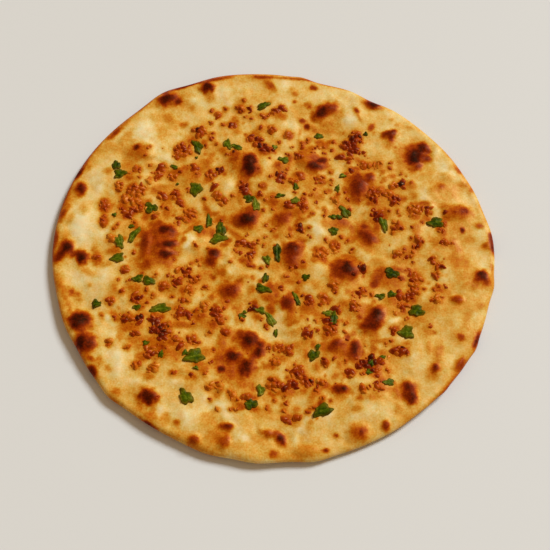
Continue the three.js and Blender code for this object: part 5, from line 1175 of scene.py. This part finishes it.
def chip_meshes(chips):
    """Points, faces and roast of all chips. Each is a low uneven dome: its outline is a circle stretched,
    lobed and pushed about, its rim lies just in the crust and is as brown as the crust, and it darkens
    towards its top. A point under the crust closes it."""
    rng = np.random.default_rng(SEEDS["chip_forms"])
    count = len(chips)
    centre_x, centre_y, size, turn, up = (chips[:, column:column + 1] for column in range(5))
    out, around = np.meshgrid(CHIP_RINGS, np.arange(CHIP_AROUND) * FULL_TURN / CHIP_AROUND, indexing="ij")
    out, around = np.append(0, out), np.append(0, around)
    fan, quads, index = ringed_disc(len(CHIP_RINGS), CHIP_AROUND)
    foot = np.stack([np.full(CHIP_AROUND, len(out)), np.roll(index[-1], -1), index[-1]], axis=-1)

    first, second = rng.uniform(0, FULL_TURN, (2, count, 1))
    edge = (1 + CHIP_LOBES * np.cos(2 * around + first) + CHIP_LOBES * np.cos(3 * around + second)
            + CHIP_RAGGED * rng.standard_normal((count, len(out))))
    half = size / 2
    lean = CHIP_LEAN[0] * half * (1 - out) * np.cos(first - second)
    along = half * rng.uniform(*CHIP_LONG, (count, 1)) * out * edge * np.cos(around) + lean
    across = half * rng.uniform(*CHIP_WIDE, (count, 1)) * out * edge * np.sin(around) + CHIP_LEAN[1] * lean
    c, s = np.cos(turn), np.sin(turn)
    x = centre_x + along * c - across * s
    y = centre_y + along * s + across * c
    rise = size * rng.uniform(*CHIP_RISE, (count, 1))
    rise = rise * (1 + CHIP_ROUGH * rng.standard_normal((count, len(out))))
    profile = 0.5 + 0.5 * np.cos(math.pi * out ** CHIP_PROFILE)
    z = crust_height(x, y) - CHIP_SUNK + (rise + up) * profile

    roast = chips[:, 5:6] + RAISED_ROAST[0] * np.minimum(up, RAISED_ROAST[1])
    ground = crust_browning(x.ravel(), y.ravel(), chips).reshape(x.shape)
    level = ground + (np.maximum(roast, ground) - ground) * (1 - out ** RIM_FADE)
    foot_z = z[:, -CHIP_AROUND:].min(axis=1, keepdims=True) - CHIP_FOOT
    points = np.stack([np.hstack([x, centre_x]), np.hstack([y, centre_y]), np.hstack([z, foot_z])], axis=-1)
    levels = np.hstack([level, level[:, -1:]])
    offsets = (len(out) + 1) * np.arange(count)[:, None, None]
    faces = [(corners[None] + offsets).reshape(-1, corners.shape[1]) for corners in (fan, quads, foot)]
    return points.reshape(-1, 3), faces, np.clip(levels, 0, 1).ravel()


LEAF_RINGS = 5
LEAF_AROUND = 40
LEAF_FILL = 0.46                  # its outline's reach, as a share of its length and width
LEAF_BODY = 0.97
LEAF_LOBES = ((3, 0.16), (5, 0.10), (8, 0.05), (13, 0.025))    # how many lobes or teeth, how deep
LEAF_RAISED = 0.42                # how far it stands off the crust
LEAF_THICKNESS = 0.30
LEAF_SUNK = 0.1
LEAF_CURL = 0.5                   # how far its middle rises
LEAF_CURL_DRAW = (0.5, 0.9)       # times this, and a random part of that more
LEAF_WAVE = 0.28                  # how far its rim waves up and down
LEAF_CREASE = (0.18, 0.35)        # the fold along its middle: how deep, how wide
LEAF_CRINKLE = (0.34, 1.7)        # height and size of its wrinkles
LEAF_RIPPLE = (0.08, 2.2)         # height of the ripples along it, and how close they lie
LEAF_PATTERN = 50                 # the first leaf's noise pattern
VEIN_WIDTH = 0.16
SIDE_VEINS = (0.6, 0.55, 1.7, 0.12)    # how strong, how far they slant, how far apart, how wide
OLIVE_RIM = (0.45, 0.55)          # how far out a leaf's olive rim begins, and how wide its fade is


def leaf_meshes(leaves):
    """Points, faces and the tone, vein and rim of all leaves. Each is a closed thin sheet: its outline is
    an ellipse with three and five soft lobes and small teeth, each a cosine of the angle, and its height
    follows the crust, curls up in the middle and waves towards the rim in step with the last teeth. The
    underside is the same sheet, lower, pushed into the crust."""
    points, faces, tones, veins, rims = [], [], [], [], []
    steps = np.linspace(0, 1, LEAF_RINGS + 1)[1:]
    share, angle = np.meshgrid(steps, np.arange(LEAF_AROUND) * FULL_TURN / LEAF_AROUND, indexing="ij")
    out, around = np.append(0, share), np.append(0, angle)
    fan, quads, index = ringed_disc(LEAF_RINGS, LEAF_AROUND)
    one_side = 1 + LEAF_RINGS * LEAF_AROUND
    wall = band(index[-1], index[-1] + one_side)
    olive = np.concatenate([ease((out - OLIVE_RIM[0]) / OLIVE_RIM[1]), np.ones(one_side)])
    strong, slant, apart, fine = SIDE_VEINS
    start = 0
    for number, (x, y, length, width, turn, tone) in enumerate(leaves):
        draw = seeded(number + SEEDS["leaves"])
        lobes = LEAF_BODY
        for lobe_count, depth in LEAF_LOBES:
            lobe_turn = FULL_TURN * next(draw)
            lobes = lobes + depth * np.cos(lobe_count * angle + lobe_turn)
        along = np.append(0, LEAF_FILL * length * share * lobes * np.cos(angle))
        across = np.append(0, LEAF_FILL * width * share * lobes * np.sin(angle))
        c, s = math.cos(math.radians(turn)), math.sin(math.radians(turn))
        leaf_x, leaf_y = x + along * c - across * s, y + along * s + across * c
        curl = LEAF_CURL * (1 - out ** 2) * (LEAF_CURL_DRAW[0] + LEAF_CURL_DRAW[1] * next(draw))
        curl = curl + LEAF_WAVE * out ** 2 * np.cos(3 * around + lobe_turn)
        crease = -LEAF_CREASE[0] * hump(across, LEAF_CREASE[1]) * (1 - out ** 3)
        crinkle = (LEAF_CRINKLE[0] * soft_noise(leaf_x, leaf_y, LEAF_CRINKLE[1], number + LEAF_PATTERN)
                   + LEAF_RIPPLE[0] * np.cos(LEAF_RIPPLE[1] * along))
        crust = crust_height(leaf_x, leaf_y)
        top = crust + LEAF_RAISED + curl + crease + crinkle * out
        below = np.minimum(top - LEAF_THICKNESS, crust - LEAF_SUNK * (1 - out))
        points += [np.stack([leaf_x, leaf_y, top], -1), np.stack([leaf_x, leaf_y, below], -1)]
        under = start + one_side
        faces += [start + fan, under + fan[:, ::-1], start + quads, under + quads[:, ::-1], start + wall]
        side_veins = strong * hump(np.abs(across) - slant * (along % apart), fine)
        vein = np.maximum(hump(across, VEIN_WIDTH), side_veins) * (1 - out ** 4)
        tones.append(np.full(2 * one_side, tone))
        veins.append(np.concatenate([vein, vein]))
        rims.append(olive)
        start += 2 * one_side
    values = {"tone": np.concatenate(tones), "vein": np.concatenate(veins), "rim": np.concatenate(rims)}
    return np.concatenate(points), faces, values


# ---------------------------------------------------------------- materials

def add(tree, kind, inputs=None, **settings):
    """A new shader node with its settings, its values and the sockets that feed it."""
    node = tree.nodes.new(kind)
    for key, value in settings.items():
        setattr(node, key, value)
    for key, value in (inputs or {}).items():
        if isinstance(value, bpy.types.NodeSocket):
            tree.links.new(value, node.inputs[key])
        else:
            node.inputs[key].default_value = value
    return node


def start_material(name, sockets):
    """A material with a Principled shader, and the values that are the same all over."""
    material = bpy.data.materials.new(name)
    material.use_nodes = True
    tree = material.node_tree
    tree.nodes.clear()
    shader = add(tree, "ShaderNodeBsdfPrincipled", sockets)
    add(tree, "ShaderNodeOutputMaterial", {"Surface": shader.outputs["BSDF"]})
    return material, tree, shader


def ramp(tree, factor, stops):
    """A colour ramp fed by a value, with stops of place and screen colour."""
    node = add(tree, "ShaderNodeValToRGB", {"Fac": factor})
    elements = node.color_ramp.elements
    while len(elements) < len(stops):
        elements.new(0.5)
    for element, (place, colour) in zip(elements, stops):
        element.position = place
        element.color = linear(*colour)
    return node.outputs["Color"]


def value_of(tree, name):
    """A number stored on the mesh's points."""
    return add(tree, "ShaderNodeAttribute", attribute_name=name).outputs["Fac"]


def noise(tree, size, detail=3.0):
    """Noise with features of a size in millimetres, fixed to the object."""
    place = add(tree, "ShaderNodeTexCoord").outputs["Object"]
    inputs = {"Vector": place, "Scale": 1 / (size * MM), "Detail": detail}
    return add(tree, "ShaderNodeTexNoise", inputs).outputs["Fac"]


def total(tree, first, second, clamp=False):
    """The sum of two values, kept from 0 to 1 if clamp is set."""
    node = add(tree, "ShaderNodeMath", {0: first, 1: second}, operation="ADD", use_clamp=clamp)
    return node.outputs["Value"]


def stretch(tree, value, low, high):
    """A value from 0 to 1 spread between two limits."""
    return add(tree, "ShaderNodeMapRange", {"Value": value, "To Min": low, "To Max": high}).outputs["Result"]


def speckle(tree, size, low, high, detail=3.0):
    """Noise of a size, spread between two limits."""
    return stretch(tree, noise(tree, size, detail), low, high)


def mixed(tree, factor, first, second, kind="MIX"):
    """Two colours mixed, or with kind MULTIPLY the first one tinted by the second."""
    inputs = {"Factor": factor, 6: first, 7: second}
    return add(tree, "ShaderNodeMix", inputs, data_type="RGBA", blend_type=kind).outputs[2]


def bumped(tree, size, detail, strength, depth, below=None):
    """Normals tilted by noise of a size and depth in millimetres, on top of other normals if given."""
    inputs = {"Height": noise(tree, size, detail), "Strength": strength, "Distance": depth * MM}
    if below is not None:
        inputs["Normal"] = below
    return add(tree, "ShaderNodeBump", inputs).outputs["Normal"]


ORANGE_SHIFT = (1.04, 0.95, 0.88, 1.0)
YELLOW_SHIFT = (0.96, 1.05, 1.08, 1.0)
SHIFT_LIMITS = (0.32, 0.68)       # the noise at which the shift is all orange, and all yellow


def hue_shifted(tree, colour, size):
    """A colour that drifts between a little more orange and a little more yellow."""
    orange, yellow = SHIFT_LIMITS
    inputs = {"Value": noise(tree, size), "From Min": orange, "From Max": yellow}
    drift = add(tree, "ShaderNodeMapRange", inputs).outputs["Result"]
    shift = mixed(tree, drift, ORANGE_SHIFT, YELLOW_SHIFT)
    return mixed(tree, 1.0, colour, shift, "MULTIPLY")


# Noise is given as its size, its lowest and highest value, and its detail where that isn't 3.
# Bumps are given as size, detail, strength and depth.

CRUST_STOPS = [
    (0.00, (243, 220, 166)), (0.10, (236, 205, 138)), (0.20, (229, 188, 106)), (0.30, (219, 164, 68)),
    (0.40, (206, 133, 32)), (0.50, (190, 98, 5)), (0.60, (167, 68, 0)), (0.70, (141, 45, 0)),
    (0.80, (112, 29, 0)), (0.90, (78, 17, 0)), (1.00, (42, 10, 2)),
]
BUTTER_TINT = (1.0, 0.76, 0.46, 1.0)
CHAR_TINT = (1.0, 0.50, 0.20, 1.0)
CRUST_COARSE = (2.6, -0.10, 0.06)
CRUST_FINE = (0.9, -0.15, 0.15)
CRUST_HUE_SIZE = 3.4
CRUST_ROUGHNESS = (8.0, 0.08, 0.72, 2.0)
CRUST_ROUGHER = (0.0, 0.12)       # roughness added, from cream to char
CRUST_SHINE = (0.26, 0.07)        # strength of the gloss, from cream to char
CRUST_PORES = (0.9, 3.0, 0.12, 0.3)
CRUST_WRINKLES = (3.2, 2.0, 0.3, 0.8)


def crust_material():
    """Baked crust: the browning stored on the mesh, broken up by coarse and fine noise, drives the
    colour. It also drives the gloss, which is uneven like thin butter. Two bumps give pores and wrinkles."""
    material, tree, shader = start_material("baked_crust", {})
    browning = value_of(tree, "browning")
    level = total(tree, browning, speckle(tree, *CRUST_COARSE))
    level = total(tree, level, speckle(tree, *CRUST_FINE), clamp=True)
    colour = hue_shifted(tree, ramp(tree, level, CRUST_STOPS), CRUST_HUE_SIZE)
    tree.links.new(colour, shader.inputs["Base Color"])
    tree.links.new(mixed(tree, browning, BUTTER_TINT, CHAR_TINT), shader.inputs["Specular Tint"])
    roughness = total(tree, speckle(tree, *CRUST_ROUGHNESS), stretch(tree, browning, *CRUST_ROUGHER))
    tree.links.new(roughness, shader.inputs["Roughness"])
    tree.links.new(stretch(tree, browning, *CRUST_SHINE), shader.inputs["Specular IOR Level"])
    pores = bumped(tree, *CRUST_PORES)
    tree.links.new(bumped(tree, *CRUST_WRINKLES, pores), shader.inputs["Normal"])
    return material


GARLIC_STOPS = [
    (0.20, (230, 184, 97)), (0.30, (220, 158, 60)), (0.40, (207, 126, 28)), (0.50, (190, 92, 5)),
    (0.60, (166, 62, 0)), (0.70, (141, 38, 0)), (0.80, (112, 22, 0)), (0.90, (78, 13, 0)), (1.00, (42, 9, 2)),
]
AMBER_TINT = (1.0, 0.58, 0.24, 1.0)
GARLIC_GLOSS = {"Specular IOR Level": 0.30, "Roughness": 0.35, "Specular Tint": AMBER_TINT}
GARLIC_SPECKLE = (1.8, -0.185, 0.155)
GARLIC_HUE_SIZE = 2.2
GARLIC_GRAIN = (1.1, 3.0, 0.4, 0.3)


def garlic_material():
    """Toasted garlic: reddish brown, glossy with butter, darker on the chips that are roasted longer."""
    material, tree, shader = start_material("toasted_garlic", GARLIC_GLOSS)
    level = total(tree, value_of(tree, "roast"), speckle(tree, *GARLIC_SPECKLE), clamp=True)
    colour = hue_shifted(tree, ramp(tree, level, GARLIC_STOPS), GARLIC_HUE_SIZE)
    tree.links.new(colour, shader.inputs["Base Color"])
    tree.links.new(bumped(tree, *GARLIC_GRAIN), shader.inputs["Normal"])
    return material


HERB_STOPS = [
    (0.00, (20, 36, 0)), (0.30, (46, 62, 0)), (0.60, (78, 90, 2)), (0.85, (108, 114, 18)),
    (1.00, (150, 150, 56)),
]
HERB_RIM_STOPS = [(0.00, (66, 50, 0)), (0.50, (108, 86, 4)), (1.00, (148, 124, 34))]
HERB_TINT = (0.95, 1.0, 0.35, 1.0)
HERB_GLOSS = {"Specular IOR Level": 0.10, "Roughness": 0.4, "Specular Tint": HERB_TINT}
HERB_TONE = (0.16, 0.74)          # from the darkest leaf to the brightest
HERB_MOTTLE = (1.6, -0.6, 0.6, 2.0)
HERB_VEIN = (0.0, 0.3)
HERB_RIM_SPECKLE = (2.2, -0.55, 0.45, 2.0)
HERB_GRAIN = (0.6, 3.0, 0.3, 0.2)


def herb_material():
    """Chopped herb: dark to bright green by leaf, mottled, with paler veins and olive rims, slightly oily."""
    material, tree, shader = start_material("chopped_herb", HERB_GLOSS)
    mottled = total(tree, stretch(tree, value_of(tree, "tone"), *HERB_TONE), speckle(tree, *HERB_MOTTLE))
    level = total(tree, mottled, stretch(tree, value_of(tree, "vein"), *HERB_VEIN), clamp=True)
    olive = total(tree, value_of(tree, "rim"), speckle(tree, *HERB_RIM_SPECKLE), clamp=True)
    colour = mixed(tree, olive, ramp(tree, level, HERB_STOPS), ramp(tree, level, HERB_RIM_STOPS))
    tree.links.new(colour, shader.inputs["Base Color"])
    tree.links.new(bumped(tree, *HERB_GRAIN), shader.inputs["Normal"])
    return material


# ---------------------------------------------------------------- the stage

FLOOR_SIDE = 4.0                  # metres
FLOOR_DROP = 0.0002
FLOOR_COLOUR = (222, 221, 218)
FLOOR_ROUGHNESS = 0.6
KEY_AZIMUTH = 38.0                # from +X towards +Y
KEY_ELEVATION = 42.0
KEY_SPREAD = 20.0
KEY_STRENGTH = 3.10
KEY_COLOUR = (0.887, 0.953, 1.0)
FILL_STRENGTH = 0.36
FILL_COLOUR = (1.0, 0.76, 0.50, 1.0)


def make_floor():
    """A plain pale floor, just under the bread."""
    half = FLOOR_SIDE / 2
    corners = [(-half, -half), (half, -half), (half, half), (-half, half)]
    mesh = bpy.data.meshes.new("floor")
    mesh.from_pydata([(x, y, -FLOOR_DROP) for x, y in corners], [], [(0, 1, 2, 3)])
    sockets = {"Base Color": linear(*FLOOR_COLOUR), "Roughness": FLOOR_ROUGHNESS}
    mesh.materials.append(start_material("pale_floor", sockets)[0])
    floor = bpy.data.objects.new("floor", mesh)
    bpy.context.scene.collection.objects.link(floor)


def direction(azimuth, elevation):
    """Unit vector towards a place at an azimuth from +X towards +Y, and an elevation."""
    a, e = math.radians(azimuth), math.radians(elevation)
    return Vector((math.cos(a) * math.cos(e), math.sin(a) * math.cos(e), math.sin(e)))


def make_light():
    """A soft key light over the right far side, and an even warm surround."""
    light = bpy.data.lights.new("key", "SUN")
    light.angle = math.radians(KEY_SPREAD)
    light.energy = KEY_STRENGTH
    light.color = KEY_COLOUR
    key = bpy.data.objects.new("key", light)
    away = direction(KEY_AZIMUTH, KEY_ELEVATION)
    key.location = away
    key.rotation_euler = away.to_track_quat("Z", "Y").to_euler()
    bpy.context.scene.collection.objects.link(key)
    world = bpy.data.worlds.new("surround")
    world.use_nodes = True
    background = world.node_tree.nodes["Background"]
    background.inputs["Color"].default_value = FILL_COLOUR
    background.inputs["Strength"].default_value = FILL_STRENGTH
    bpy.context.scene.world = world


def make_camera():
    """A long lens that looks down on the bread from its near side."""
    data = bpy.data.cameras.new("camera")
    data.lens = CAMERA_LENS
    data.sensor_width = CAMERA_SENSOR
    data.sensor_fit = "HORIZONTAL"
    camera = bpy.data.objects.new("camera", data)
    back = direction(-90, CAMERA_ELEVATION)
    camera.location = (Vector(CAMERA_AIM) + CAMERA_DISTANCE * back) * MM
    camera.rotation_euler = back.to_track_quat("Z", "Y").to_euler()
    bpy.context.scene.collection.objects.link(camera)
    bpy.context.scene.camera = camera
    bpy.context.scene.view_settings.view_transform = "Standard"


# ---------------------------------------------------------------- making it

make_camera()
make_light()
make_floor()

chips = np.concatenate([lifted(heap_chips()), single_chips(), strewn_crumbs(), loose_chips()])

points, faces, browning = bread_mesh(chips)
new_piece("naan_crust", points, faces, {"browning": browning}, crust_material())

points, faces, roast = chip_meshes(chips)
new_piece("garlic_chips", points, faces, {"roast": roast}, garlic_material())

points, faces, values = leaf_meshes(HERB_LEAVES + HERB_SCRAPS)
new_piece("herb_leaves", points, faces, values, herb_material())
